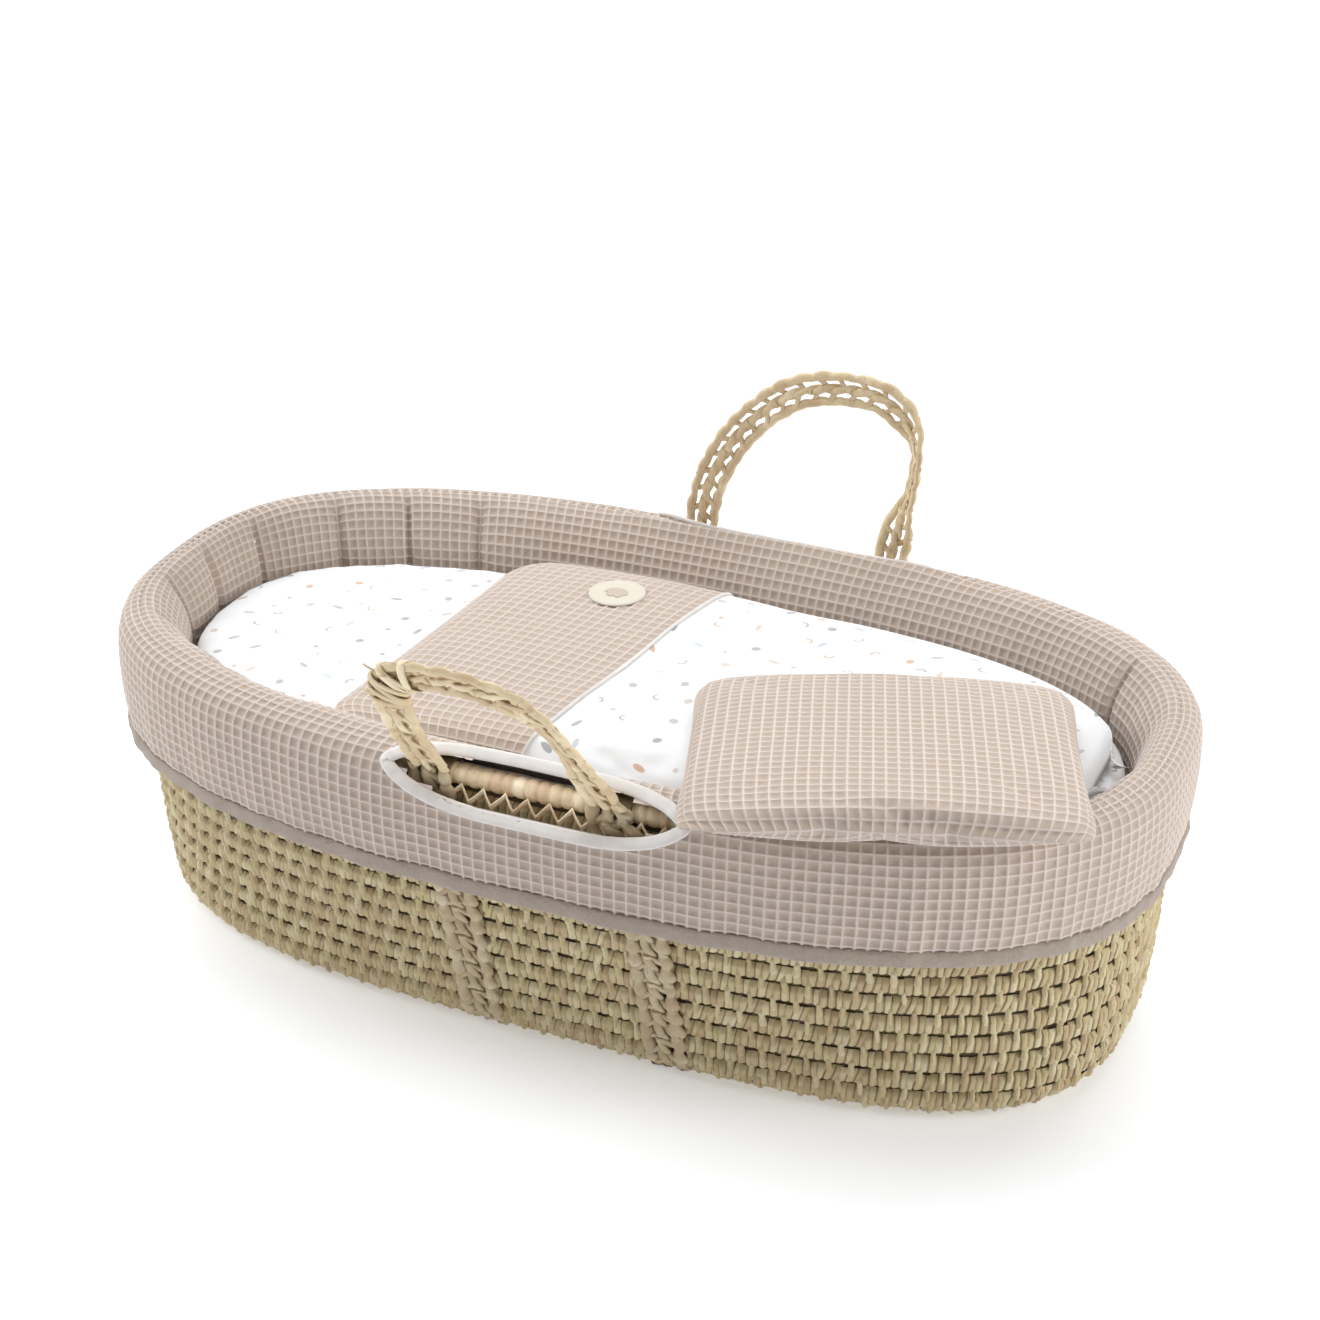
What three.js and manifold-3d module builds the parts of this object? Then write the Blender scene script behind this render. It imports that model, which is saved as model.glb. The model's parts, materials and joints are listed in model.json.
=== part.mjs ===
// A dressed moses basket: an oval palm-leaf basket with two braided handles, a padded
// textile liner, a mattress, a small quilt and a flat pillow. Millimetres, +Z up. The
// origin is the centre of the underside, +X points to the foot end, +Y to the far handle.
import * as THREE from "three";
import { mergeVertices } from "three/addons/utils/BufferGeometryUtils.js";
import Module from "manifold-3d";

const wasm = await Module();
wasm.setup();

// Shared fits
const GAP = 0.35;
const OVAL_SEGMENTS = 48;
const OVAL_POWER = 2.63; // fullness of the plan outline at the rim
const BASE_POWER = 3.2; // fuller outline at the floor

// Palm-leaf basket. Outlines are rows of [half length, half width, height, fullness].
const BASE_EDGE = 4;
const BASE_TOP = 10;
const BASE_OUTLINE = [
  [352, 149, 0, BASE_POWER],
  [363, 161, BASE_EDGE, BASE_POWER],
  [367, 163, BASE_TOP, BASE_POWER],
];
const WALL_THICKNESS = 8;
const WALL_OUTLINE = [
  [373, 165, 10.4, BASE_POWER],
  [389, 169, 24, 3.0],
  [393, 179, 60, 2.8],
  [396, 193, 110, 2.65],
  [398, 206, 160],
  [399, 207.5, 200],
  [398.5, 204.5, 229],
];
const RIM = { a: 394.5, b: 200.5, z: 237.4, r: 8, sides: 8 };
const BRACE = { width: 28, thickness: 5.2, top: 245.4, footY: 213.3, footZ: 232 };
const BRACE_BEND = { y: 212.6, z: 220 }; // where a brace leaves its foot for the wall
const BRACE_HEIGHTS = [200, 160, 110, 60, 24, 14]; // where it follows the wall
const BRACE_TURN = { highZ: 7, lowZ: 3.6, inset: 8 }; // round the edge of the floor
const LASHING = { inner: 8.6, outer: 10, width: 26, mouth: 0.8, slopeStep: 5 };

// Handles: braided straps that turn about a line through their two feet.
const STRAP = { width: 28, thickness: 7, stations: 34, levelShare: 0.06 };
const HINGE = { y: 215.5, z: 250 };
const NEAR_BAIL = {
  side: -1,
  lean: -28,
  points: [
    [-63, 0], [-67, 14], [-71, 42], [-70, 70], [-66, 92], [-52, 107], [-30, 113],
    [-2, 112], [24, 103], [44, 82], [56, 50], [62, 22], [68, 0],
  ],
};
const FAR_BAIL = {
  side: 1,
  lean: 0,
  points: [
    [-41, 0], [-39, 16], [-32, 42], [-14, 77], [12, 107], [41, 127], [74, 135],
    [107, 133], [128, 118], [138, 94], [136, 61], [127, 28], [121, 0],
  ],
  twist: { from: 0.62, full: [0.755, 0.835], to: 0.97, angle: 65 },
};
const SPLICE = { from: 0.2, to: 0.36, margin: 3 };

// Textile liner. The cover wraps the rim from the hem, over the crest, to the mattress.
const HEM_Z = 166;
const SKIRT_OUTSIDE = [
  [408.4, 226.6, HEM_Z],
  [411.6, 226.5, 205],
  [412, 226, 230],
  [411, 222.5, 244],
  [406, 215, 252.5],
  [398, 204, 255.5],
];
const SKIRT_INSIDE = [
  [398, 204, 251.5],
  [403.5, 211, 248.5],
  [406.5, 217.5, 241.5],
  [407.5, 221.5, 229],
  [407, 222, 205],
  [403.9, 222, HEM_Z],
];
const BUMPER_OUTSIDE = [
  [397.6, 203.6, 255.5],
  [386, 190, 254.5],
  [376, 173, 243],
  [370, 161, 220],
  [368.5, 158, 200],
  [368.5, 158, 150],
];
const COVER_THICKNESS = 2;
const PAD_OUTLINE = [
  [371, 160.6, 150],
  [371, 160.6, 200],
  [373, 164.4, 219],
  [379.8, 177, 239],
  [382, 182, 244.5],
  [383, 187, 245],
  [383, 187, 229],
  [386, 193, 222],
  [386, 193, 150],
];
const HEM = { outer: 2.2, inner: 1.6, below: 4.6, above: 6 };
const HEM_ELASTIC = { inset: 1.2, width: 2.2, height: 3 };
const FLOOR_PANEL = { a: 355, b: 148, z: 10.5, thickness: 2 };

// Slots that the handles come out of, cut square to the shoulder of the cover.
const SLOT = { y: 213, z: 241.5, halfWidth: 20, power: 3.6, taper: 0.75, inside: 14, outside: 24 };
const SLOT_TILT = Math.atan2(27, 30); // of the line from the inner lip to the outer lip
const NEAR_SLOT = { side: -1, x: 16, halfLength: 110 };
const FAR_SLOT = { side: 1, x: 42, halfLength: 118 };
const BINDING = { across: 2.2, deep: 4.4, slack: 1.1, sides: 6, segments: 44 };

// Bedding
const SUPPORT_OUTLINE = [
  [352, 146, 12.9, BASE_POWER],
  [362, 149, 30, 2.9],
  [365, 153, 70],
  [365, 154, 159.6],
];
const MATTRESS = { a: 362.6, b: 151.6, bottom: 161.7, top: 212.4, round: 9 };
const SHEET = { thickness: 1, mouthA: 318, mouthB: 106 };
const SHEET_ELASTIC = { a: 316.6, b: 104.6, width: 4, z: 160.2, height: 1 };
const QUILT = { headX: -180, footA: 354, footB: 147, skew: 0.08, cornerRadius: 18 };
const QUILT_LEVELS = { bottom: 214, top: 239.5, edge: 9, cover: 1.2 };
const QUILT_MOUTH = { x: 338, length: 34, width: 150, height: 6 };
const BAND = { headInset: 12, halfWidth: 136, slope: 0.155, pipingX: -7, thickness: 1.4 };
const PIPING_RADIUS = 1.6;
const BADGE = { x: -61, y: 92, radius: 22.5, thickness: 1, heart: 9, motif: 0.8 };
const PILLOW = {
  a: 131, b: 122, power: 6, x: 232, y: -105, z: 261.5, turn: 17, tilt: -6.9,
  up: 28, down: 14, edge: 2.6, cover: 1.2, segments: 32,
};
const PILLOW_OPENING = { length: 131, width: 24, depth: 16 };

const palm = { color: 0xc9b98d, roughness: 0.75, metalness: 0 };
const palmRoll = { color: 0xd2b98c, roughness: 0.7, metalness: 0 };
const waffle = { color: 0xc9b8a8, roughness: 0.95, metalness: 0 };
const whiteCotton = { color: 0xf3f3f2, roughness: 0.9, metalness: 0 };
const wadding = { color: 0xe9e8e4, roughness: 1, metalness: 0 };
const foam = { color: 0xe8e2cf, roughness: 0.95, metalness: 0 };
const elastic = { color: 0xdedcd6, roughness: 0.9, metalness: 0 };
const felt = { color: 0xd8cdb4, roughness: 0.95, metalness: 0 };
const feltDark = { color: 0xa39280, roughness: 0.95, metalness: 0 };

const basket = new THREE.Group();

function add(name, geometry, look) {
  const mesh = new THREE.Mesh(geometry, new THREE.MeshStandardMaterial(look));
  mesh.name = name;
  basket.add(mesh);
  return mesh;
}

// ---- shape helpers ----

function ovalPoint([a, b, z, power = OVAL_POWER], angle) {
  const [c, s] = [Math.cos(angle), Math.sin(angle)].map((v) => (Math.abs(v) < 1e-9 ? 0 : v));
  const x = a * Math.sign(c) * Math.abs(c) ** (2 / power);
  const y = b * Math.sign(s) * Math.abs(s) ** (2 / power);
  return new THREE.Vector3(x, y, z);
}

// A lathe whose level outlines are ovals, one for each row of the profile.
function ovalSolid(profile, segments = OVAL_SEGMENTS) {
  const marks = profile.map((row, index) => new THREE.Vector2(1, index));
  const lathe = new THREE.LatheGeometry(marks, segments);
  const position = lathe.attributes.position;
  for (let i = 0; i < position.count; i++) {
    const turn = Math.floor(i / profile.length) / segments;
    const point = ovalPoint(profile[i % profile.length], -2 * Math.PI * turn);
    position.setXYZ(i, point.x, point.y, point.z);
  }
  return lathe;
}

const ring = (profile) => ovalSolid([...profile, profile[0]]);
const inset = (profile, d) => profile.map(([a, b, ...rest]) => [a - d, b - d, ...rest]);
const reversed = (profile) => [...profile].reverse();

// A solid from the bottom centre, up the outline and back to the top centre.
function plug(outline) {
  const first = outline[0];
  const last = outline[outline.length - 1];
  return ovalSolid([[0, 0, first[2]], ...outline, [0, 0, last[2]]].reverse());
}

function manifoldOf(geometry) {
  const plain = geometry.index ? geometry.toNonIndexed() : geometry.clone();
  plain.deleteAttribute("normal");
  plain.deleteAttribute("uv");
  const merged = mergeVertices(plain, 1e-3);
  return new wasm.Manifold(new wasm.Mesh({
    numProp: 3,
    vertProperties: merged.attributes.position.array,
    triVerts: new Uint32Array(merged.index.array),
  }));
}

function geometryOf(manifold) {
  const mesh = manifold.getMesh();
  const geometry = new THREE.BufferGeometry();
  geometry.setAttribute("position", new THREE.BufferAttribute(mesh.vertProperties, 3));
  geometry.setIndex(new THREE.BufferAttribute(mesh.triVerts, 1));
  return geometry;
}

function cut(geometry, ...tools) {
  const whole = manifoldOf(geometry);
  return geometryOf(tools.reduce((solid, tool) => solid.subtract(manifoldOf(tool)), whole));
}

// A flat strip through stations that give its centre, its width and its thickness directions.
function strip(stations, width, thickness) {
  const bar = new THREE.BoxGeometry(width, thickness, 1, 1, 1, stations.length - 1);
  const position = bar.attributes.position;
  for (let i = 0; i < position.count; i++) {
    const station = stations[Math.round((position.getZ(i) + 0.5) * (stations.length - 1))];
    const point = station.centre.clone()
      .addScaledVector(station.across, position.getX(i))
      .addScaledVector(station.through, position.getY(i));
    position.setXYZ(i, point.x, point.y, point.z);
  }
  return bar;
}

// Half width of an outline at a distance x along it and at a height z.
function halfWidthAt(outline, x, z) {
  let upper = outline.findIndex((row) => row[2] >= z);
  if (upper < 0) upper = outline.length - 1;
  const high = outline[upper];
  const low = outline[Math.max(upper - 1, 0)];
  const t = high === low ? 1 : (z - low[2]) / (high[2] - low[2]);
  const mix = (i, spare) => THREE.MathUtils.lerp(low[i] ?? spare, high[i] ?? spare, t);
  const [a, b, power] = [mix(0), mix(1), mix(3, OVAL_POWER)];
  return b * (1 - Math.abs(x / a) ** power) ** (1 / power);
}

// ---- basket ----

// Route of one brace down the far wall, under the base and up the near wall.
function braceStations({ nearX, farX, nearFootX, farFootX }) {
  const reach = BRACE.thickness / 2 + GAP;
  const half = (x, footX) => [
    [footX, BRACE.footY, BRACE.top],
    [footX, BRACE.footY, BRACE.footZ],
    [(x + footX) / 2, BRACE_BEND.y, BRACE_BEND.z],
    ...BRACE_HEIGHTS.map((z) => [x, halfWidthAt(WALL_OUTLINE, x, z) + reach, z]),
    [x, halfWidthAt(BASE_OUTLINE, x, BASE_TOP) + reach, BRACE_TURN.highZ],
    [x, halfWidthAt(BASE_OUTLINE, x, BASE_EDGE), BRACE_TURN.lowZ],
    [x, halfWidthAt(BASE_OUTLINE, x, 0) - BRACE_TURN.inset, reach],
  ];
  const far = half(farX, farFootX).map(([x, y, z]) => new THREE.Vector3(x, y, z));
  const near = half(nearX, nearFootX).map(([x, y, z]) => new THREE.Vector3(x, -y, z));
  const route = [...far, ...near.reverse()];
  return route.map((centre, i) => {
    const before = route[Math.max(i - 1, 0)];
    const after = route[Math.min(i + 1, route.length - 1)];
    const along = after.clone().sub(before).setX(0).normalize();
    const across = new THREE.Vector3(1, 0, 0);
    return { centre, across, through: along.clone().cross(across) };
  });
}

const BRACES = {
  brace_left: { nearX: -54, farX: -42, nearFootX: -65, farFootX: -41 },
  brace_right: { nearX: 93, farX: 118, nearFootX: 70, farFootX: 121 },
};
const grooveTools = Object.values(BRACES).map((brace) =>
  strip(braceStations(brace), BRACE.width + 2 * GAP, BRACE.thickness + 2 * GAP));

add("basket_base", cut(plug(BASE_OUTLINE), ...grooveTools), palm);
const wallInside = inset(WALL_OUTLINE, WALL_THICKNESS);
add("basket_wall", cut(ring([...reversed(WALL_OUTLINE), ...wallInside]), ...grooveTools), palm);
for (const [name, brace] of Object.entries(BRACES)) {
  add(name, strip(braceStations(brace), BRACE.width, BRACE.thickness), palmRoll);
}

function rimRow(i, radius) {
  const angle = (2 * Math.PI * i) / RIM.sides;
  const out = radius * Math.cos(angle);
  return [RIM.a + out, RIM.b + out, RIM.z - radius * Math.sin(angle)];
}

function rimRing(radius) {
  return ring(Array.from({ length: RIM.sides }, (_, i) => rimRow(i, radius)));
}

add("rim_roll", rimRing(RIM.r), palmRoll);

// A leaf lashing over the rim beside one handle foot, open below where the wall passes.
function lashing(x, side) {
  const outline = new THREE.Shape();
  outline.absarc(0, 0, LASHING.outer, -Math.PI / 2 + LASHING.mouth, 1.5 * Math.PI - LASHING.mouth);
  outline.absarc(0, 0, LASHING.inner, 1.5 * Math.PI - LASHING.mouth, -Math.PI / 2 + LASHING.mouth, true);
  const options = { depth: LASHING.width, bevelEnabled: false, curveSegments: 14 };
  const sleeve = new THREE.ExtrudeGeometry(outline, options);
  sleeve.translate(0, 0, -LASHING.width / 2);
  sleeve.rotateX(Math.PI / 2);
  sleeve.rotateZ(Math.PI / 2);
  const y = RIM.b * (1 - Math.abs(x / RIM.a) ** OVAL_POWER) ** (1 / OVAL_POWER);
  const xNext = x + LASHING.slopeStep;
  const yNext = RIM.b * (1 - Math.abs(xNext / RIM.a) ** OVAL_POWER) ** (1 / OVAL_POWER);
  sleeve.rotateZ(side * Math.atan2(yNext - y, LASHING.slopeStep));
  sleeve.translate(x, side * y, RIM.z);
  return cut(sleeve, rimRing(RIM.r + GAP));
}

add("lashing_near_left", lashing(-65, -1), palmRoll);
add("lashing_near_right", lashing(70, -1), palmRoll);
add("lashing_far_left", lashing(-41, 1), palmRoll);
add("lashing_far_right", lashing(121, 1), palmRoll);

// ---- handles ----

function twistAt({ from, full, to, angle }, u) {
  const start = THREE.MathUtils.smoothstep(u, from, full[0]);
  const end = THREE.MathUtils.smoothstep(u, full[1], to);
  return THREE.MathUtils.degToRad(angle) * start * (1 - end);
}

function bailStations({ side, lean, points, twist }, from = 0, to = 1) {
  const angle = THREE.MathUtils.degToRad(lean);
  const up = new THREE.Vector3(0, -side * Math.sin(angle), Math.cos(angle));
  const right = new THREE.Vector3(1, 0, 0);
  const face = right.clone().cross(up);
  const foot = new THREE.Vector3(0, side * HINGE.y, HINGE.z);
  const line = new THREE.CatmullRomCurve3(
    points.map(([x, h]) => foot.clone().addScaledVector(right, x).addScaledVector(up, h)),
    false,
    "centripetal",
  );
  return Array.from({ length: STRAP.stations + 1 }, (_, i) => {
    const u = THREE.MathUtils.lerp(from, to, i / STRAP.stations);
    const tangent = line.getTangentAt(u);
    const flat = face.clone().cross(tangent);
    const level = right.clone().multiplyScalar(Math.sign(flat.x) || 1);
    const square = THREE.MathUtils.smoothstep(Math.min(u, 1 - u), 0, STRAP.levelShare);
    const across = level.lerp(flat, square).normalize();
    const through = tangent.clone().cross(across).normalize();
    const turn = twist ? twistAt(twist, u) : 0;
    across.applyAxisAngle(tangent, turn);
    through.applyAxisAngle(tangent, turn);
    return { centre: line.getPointAt(u), across, through };
  });
}

const strapOf = (bail, extra = 0, from = 0, to = 1) =>
  strip(bailStations(bail, from, to), STRAP.width + extra, STRAP.thickness + extra);

add("near_handle_strap", strapOf(NEAR_BAIL), palmRoll);
add("far_handle_strap", strapOf(FAR_BAIL), palmRoll);
const spliceSleeve = strapOf(NEAR_BAIL, 2 * SPLICE.margin, SPLICE.from, SPLICE.to);
add("near_handle_splice", cut(spliceSleeve, strapOf(NEAR_BAIL, 2 * GAP)), palmRoll);

// ---- textile liner ----

// The slot's outline point at an angle, in the plane square to the shoulder.
function slotOutline(angle, halfLength, halfWidth) {
  const c = Math.cos(angle);
  const s = Math.sin(angle);
  const x = halfLength * c;
  const w = halfWidth * Math.sign(s) * (1 - Math.abs(c) ** SLOT.power) ** SLOT.taper;
  return new THREE.Vector2(x, w);
}

// Directions of a slot: across it from the inner lip to the outer, and out of the shoulder.
function slotFrame(side) {
  const across = new THREE.Vector3(0, side * Math.cos(SLOT_TILT), -Math.sin(SLOT_TILT));
  const out = new THREE.Vector3(0, side * Math.sin(SLOT_TILT), Math.cos(SLOT_TILT));
  return { across, out };
}

function slotTool({ side, x, halfLength }) {
  const count = 36;
  const points = Array.from({ length: count }, (_, i) =>
    slotOutline((2 * Math.PI * i) / count, halfLength, SLOT.halfWidth));
  const depth = SLOT.inside + SLOT.outside;
  const prism = new THREE.ExtrudeGeometry(new THREE.Shape(points), { depth, bevelEnabled: false });
  prism.translate(0, 0, -SLOT.inside);
  const { out } = slotFrame(side);
  prism.rotateX(-Math.atan2(out.y, out.z));
  prism.translate(x, side * SLOT.y, SLOT.z);
  return prism;
}

const slotTools = [slotTool(NEAR_SLOT), slotTool(FAR_SLOT)];
const skirtProfile = [...reversed(SKIRT_OUTSIDE), ...reversed(SKIRT_INSIDE)];
add("liner_skirt", cut(ring(skirtProfile), ...slotTools), waffle);
const [crestA, crestB] = BUMPER_OUTSIDE[0];
const CREST_ROWS = 3; // the rows that the cover's back also follows downwards
const bumperBack = inset(BUMPER_OUTSIDE, -COVER_THICKNESS).map(([a, b, z], i) => [
  Math.min(a, crestA),
  Math.min(b, crestB),
  i < CREST_ROWS ? z - COVER_THICKNESS : z,
]);
add("bumper_cover", cut(ring([...reversed(BUMPER_OUTSIDE), ...bumperBack]), ...slotTools), waffle);
add("bumper_pad", ring(PAD_OUTLINE), wadding);

// The binding folds round the skirt's lower edge and holds the elastic in the fold.
const [hemA, hemB] = SKIRT_OUTSIDE[0];
const [backA, backB] = SKIRT_INSIDE[SKIRT_INSIDE.length - 1];
add("hem_binding", ring([
  [backA - GAP - HEM.inner, backB - GAP - HEM.inner, HEM_Z + HEM.above],
  [backA - GAP, backB - GAP, HEM_Z + HEM.above],
  [backA - GAP, backB - GAP, HEM_Z - HEM.below],
  [hemA + GAP, hemB + GAP, HEM_Z - HEM.below],
  [hemA + GAP + 0.5, hemB + GAP, HEM_Z + HEM.above],
  [hemA + GAP + HEM.outer, hemB + GAP + HEM.outer - 0.5, HEM_Z + HEM.above],
  [hemA + GAP + HEM.outer, hemB + GAP + HEM.outer, HEM_Z - 5],
  [hemA - 1, hemB - 1, HEM_Z - HEM.below - HEM.inner],
  [backA - GAP - HEM.inner, backB - GAP - HEM.inner, HEM_Z - HEM.below - HEM.inner],
]), waffle);

function flatRing(a, b, width, z, height) {
  return ring([
    [a, b, z],
    [a, b, z + height],
    [a - width, b - width, z + height],
    [a - width, b - width, z],
  ].reverse());
}

const elasticZ = HEM_Z - HEM.below + GAP;
add("hem_elastic", flatRing(
  hemA - HEM_ELASTIC.inset, hemB - HEM_ELASTIC.inset, HEM_ELASTIC.width, elasticZ, HEM_ELASTIC.height,
), elastic);

// Distance out along the slot's normal at which a line meets the middle of the cover.
function coverDepth(x, across, side) {
  const frame = slotFrame(side);
  const outside = [...SKIRT_OUTSIDE, BUMPER_OUTSIDE[1]];
  const half = COVER_THICKNESS / 2;
  const middle = outside.map(([a, b, z]) => {
    const y = (b - half) * (1 - Math.abs(x / a) ** OVAL_POWER) ** (1 / OVAL_POWER);
    return [y - SLOT.y, z - half - SLOT.z];
  });
  const local = middle.map(([dy, dz]) => ({
    w: dy * Math.abs(frame.across.y) + dz * frame.across.z,
    t: dy * Math.abs(frame.out.y) + dz * frame.out.z,
  }));
  const i = local.findIndex((point) => point.w <= across);
  const high = local[Math.max(i - 1, 0)];
  const low = local[i < 0 ? local.length - 1 : i];
  const share = high.w === low.w ? 0 : (across - low.w) / (high.w - low.w);
  return THREE.MathUtils.lerp(low.t, high.t, THREE.MathUtils.clamp(share, 0, 1));
}

// A soft binding round the edge of one slot.
function slotBinding({ side, x, halfLength }) {
  const { across, out } = slotFrame(side);
  const centre = new THREE.Vector3(x, side * SLOT.y, SLOT.z);
  const length = halfLength - BINDING.across / 2 - BINDING.slack;
  const width = SLOT.halfWidth - BINDING.across / 2 - BINDING.slack;
  const loop = new THREE.CatmullRomCurve3(Array.from({ length: BINDING.segments }, (_, i) => {
    const angle = (2 * Math.PI * i) / BINDING.segments;
    const flat = slotOutline(angle, length, width);
    const depth = coverDepth(x + flat.x, flat.y, side);
    return centre.clone().setX(x + flat.x).addScaledVector(across, flat.y).addScaledVector(out, depth);
  }), true);
  const torus = new THREE.TorusGeometry(1, 0.5, BINDING.sides, BINDING.segments);
  const position = torus.attributes.position;
  for (let i = 0; i < position.count; i++) {
    const around = (i % (BINDING.segments + 1)) / BINDING.segments;
    const tube = (2 * Math.PI * Math.floor(i / (BINDING.segments + 1))) / BINDING.sides;
    const point = loop.getPoint(around % 1);
    const inward = out.clone().cross(loop.getTangent(around % 1)).normalize();
    point.addScaledVector(inward, -side * (BINDING.across / 2) * Math.cos(tube));
    point.addScaledVector(out, side * (BINDING.deep / 2) * Math.sin(tube));
    position.setXYZ(i, point.x, point.y, point.z);
  }
  return torus;
}

add("slot_binding_near", slotBinding(NEAR_SLOT), whiteCotton);
add("slot_binding_far", slotBinding(FAR_SLOT), whiteCotton);

const { a: floorA, b: floorB, z: floorZ, thickness: floorThickness } = FLOOR_PANEL;
add("liner_floor", plug([
  [floorA, floorB, floorZ, BASE_POWER],
  [floorA, floorB, floorZ + floorThickness, BASE_POWER],
]), whiteCotton);
add("support_pad", plug(SUPPORT_OUTLINE), foam);

// ---- mattress ----

function roundedSlab(a, b, bottom, top, round) {
  return [
    [a - round, b - round, bottom],
    [a - 0.3 * round, b - 0.3 * round, bottom + 0.3 * round],
    [a, b, bottom + round],
    [a, b, top - round],
    [a - 0.3 * round, b - 0.3 * round, top - 0.3 * round],
    [a - round, b - round, top],
  ];
}

const core = roundedSlab(MATTRESS.a, MATTRESS.b, MATTRESS.bottom, MATTRESS.top, MATTRESS.round);
add("mattress_core", plug(core), foam);

function grown(a, b, bottom, top, round, by) {
  return roundedSlab(a + by, b + by, bottom - by, top + by, round + by);
}

const slab = [MATTRESS.a, MATTRESS.b, MATTRESS.bottom, MATTRESS.top, MATTRESS.round];
const sheetBack = grown(...slab, GAP);
const sheetFace = grown(...slab, GAP + SHEET.thickness);
add("mattress_sheet", ovalSolid([
  [0, 0, sheetFace[5][2]],
  ...reversed(sheetFace),
  [SHEET.mouthA, SHEET.mouthB, sheetFace[0][2]],
  [SHEET.mouthA, SHEET.mouthB, sheetBack[0][2]],
  ...sheetBack,
  [0, 0, sheetBack[5][2]],
]), whiteCotton);
add("sheet_elastic", flatRing(
  SHEET_ELASTIC.a, SHEET_ELASTIC.b, SHEET_ELASTIC.width, SHEET_ELASTIC.z, SHEET_ELASTIC.height,
), elastic);

// ---- quilt ----

// Plan outline of the quilt, pulled in by a margin: square at the head, oval at the foot.
function quiltOutline(margin) {
  const a = QUILT.footA - margin;
  const b = QUILT.footB - margin;
  const headX = QUILT.headX + margin;
  const head = (y) => headX + QUILT.skew * y;
  const corner = QUILT.cornerRadius;
  const shape = new THREE.Shape();
  shape.moveTo(head(b - corner), b - corner);
  shape.lineTo(head(corner - b), corner - b);
  shape.quadraticCurveTo(head(-b), -b, head(-b) + corner, -b);
  const steps = 22;
  for (let i = 0; i <= steps; i++) {
    const point = ovalPoint([a, b, 0], -Math.PI / 2 + (Math.PI * i) / steps);
    shape.lineTo(point.x, point.y);
  }
  shape.lineTo(head(b) + corner, b);
  shape.quadraticCurveTo(head(b), b, head(b - corner), b - corner);
  return shape;
}

function quiltSlab(margin) {
  const { bottom, top, edge } = QUILT_LEVELS;
  const depth = top - bottom - 2 * edge;
  const slabShape = new THREE.ExtrudeGeometry(quiltOutline(margin + edge), {
    depth,
    bevelThickness: edge - margin,
    bevelSize: edge,
    bevelSegments: 2,
    curveSegments: 3,
  });
  slabShape.translate(0, 0, bottom + edge);
  return slabShape;
}

const { length: mouthLength, width: mouthWidth, height: mouthHeight, x: mouthX } = QUILT_MOUTH;
const quiltMouth = new THREE.BoxGeometry(mouthLength, mouthWidth, mouthHeight);
quiltMouth.translate(mouthX - mouthLength, 0, QUILT_LEVELS.bottom);
add("quilt_cover", cut(quiltSlab(0), quiltSlab(QUILT_LEVELS.cover), quiltMouth), whiteCotton);
add("quilt_wadding", quiltSlab(QUILT_LEVELS.cover + GAP), wadding);

const bandZ = QUILT_LEVELS.top + GAP;
const pipingX = (y) => BAND.pipingX + BAND.slope * y;
const bandGap = PIPING_RADIUS + GAP;
const headEdge = (y) => QUILT.headX + BAND.headInset + QUILT.skew * y;
const bandShape = new THREE.Shape([
  new THREE.Vector2(headEdge(BAND.halfWidth), BAND.halfWidth),
  new THREE.Vector2(headEdge(-BAND.halfWidth), -BAND.halfWidth),
  new THREE.Vector2(pipingX(-BAND.halfWidth) - bandGap, -BAND.halfWidth),
  new THREE.Vector2(pipingX(BAND.halfWidth) - bandGap, BAND.halfWidth),
]);
const plate = (shape, depth, z, curveSegments = 12) =>
  new THREE.ExtrudeGeometry(shape, { depth, bevelEnabled: false, curveSegments }).translate(0, 0, z);
add("quilt_band", plate(bandShape, BAND.thickness, bandZ), waffle);

const piping = new THREE.CylinderGeometry(PIPING_RADIUS, PIPING_RADIUS, 2 * BAND.halfWidth, 8);
piping.rotateZ(-Math.atan(BAND.slope));
piping.translate(BAND.pipingX, 0, bandZ + PIPING_RADIUS);
add("quilt_piping", piping, whiteCotton);

const badge = new THREE.CylinderGeometry(BADGE.radius, BADGE.radius, BADGE.thickness, 28);
badge.rotateX(Math.PI / 2);
const badgeZ = bandZ + BAND.thickness + GAP;
badge.translate(BADGE.x, BADGE.y, badgeZ + BADGE.thickness / 2);
add("quilt_badge", badge, felt);

const heart = new THREE.Shape();
const h = BADGE.heart;
heart.moveTo(0, -h);
heart.bezierCurveTo(-1.6 * h, 0.1 * h, -0.9 * h, 1.3 * h, 0, 0.5 * h);
heart.bezierCurveTo(0.9 * h, 1.3 * h, 1.6 * h, 0.1 * h, 0, -h);
const motif = plate(heart, BADGE.motif, badgeZ + BADGE.thickness + GAP, 8);
motif.translate(BADGE.x, BADGE.y, 0);
add("badge_motif", motif, feltDark);

// ---- pillow ----

// Half profile of the pillow from its rim (0) to its middle (1), as [plan scale, lift].
const PILLOW_CURVE = [[1, 0], [0.97, 0.22], [0.88, 0.5], [0.7, 0.78], [0.45, 0.95]];

function pillowHeight(shrink, rise, lift) {
  const rim = PILLOW.edge / 2;
  return rim + lift * (rise - rim) - shrink * Math.min(1, 4 * lift);
}

function pillowRows(shrink, rise) {
  return PILLOW_CURVE.map(([scale, lift]) => [
    PILLOW.a * scale - shrink,
    PILLOW.b * scale - shrink,
    Math.sign(rise) * pillowHeight(shrink, Math.abs(rise), lift),
    PILLOW.power,
  ]);
}

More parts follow.
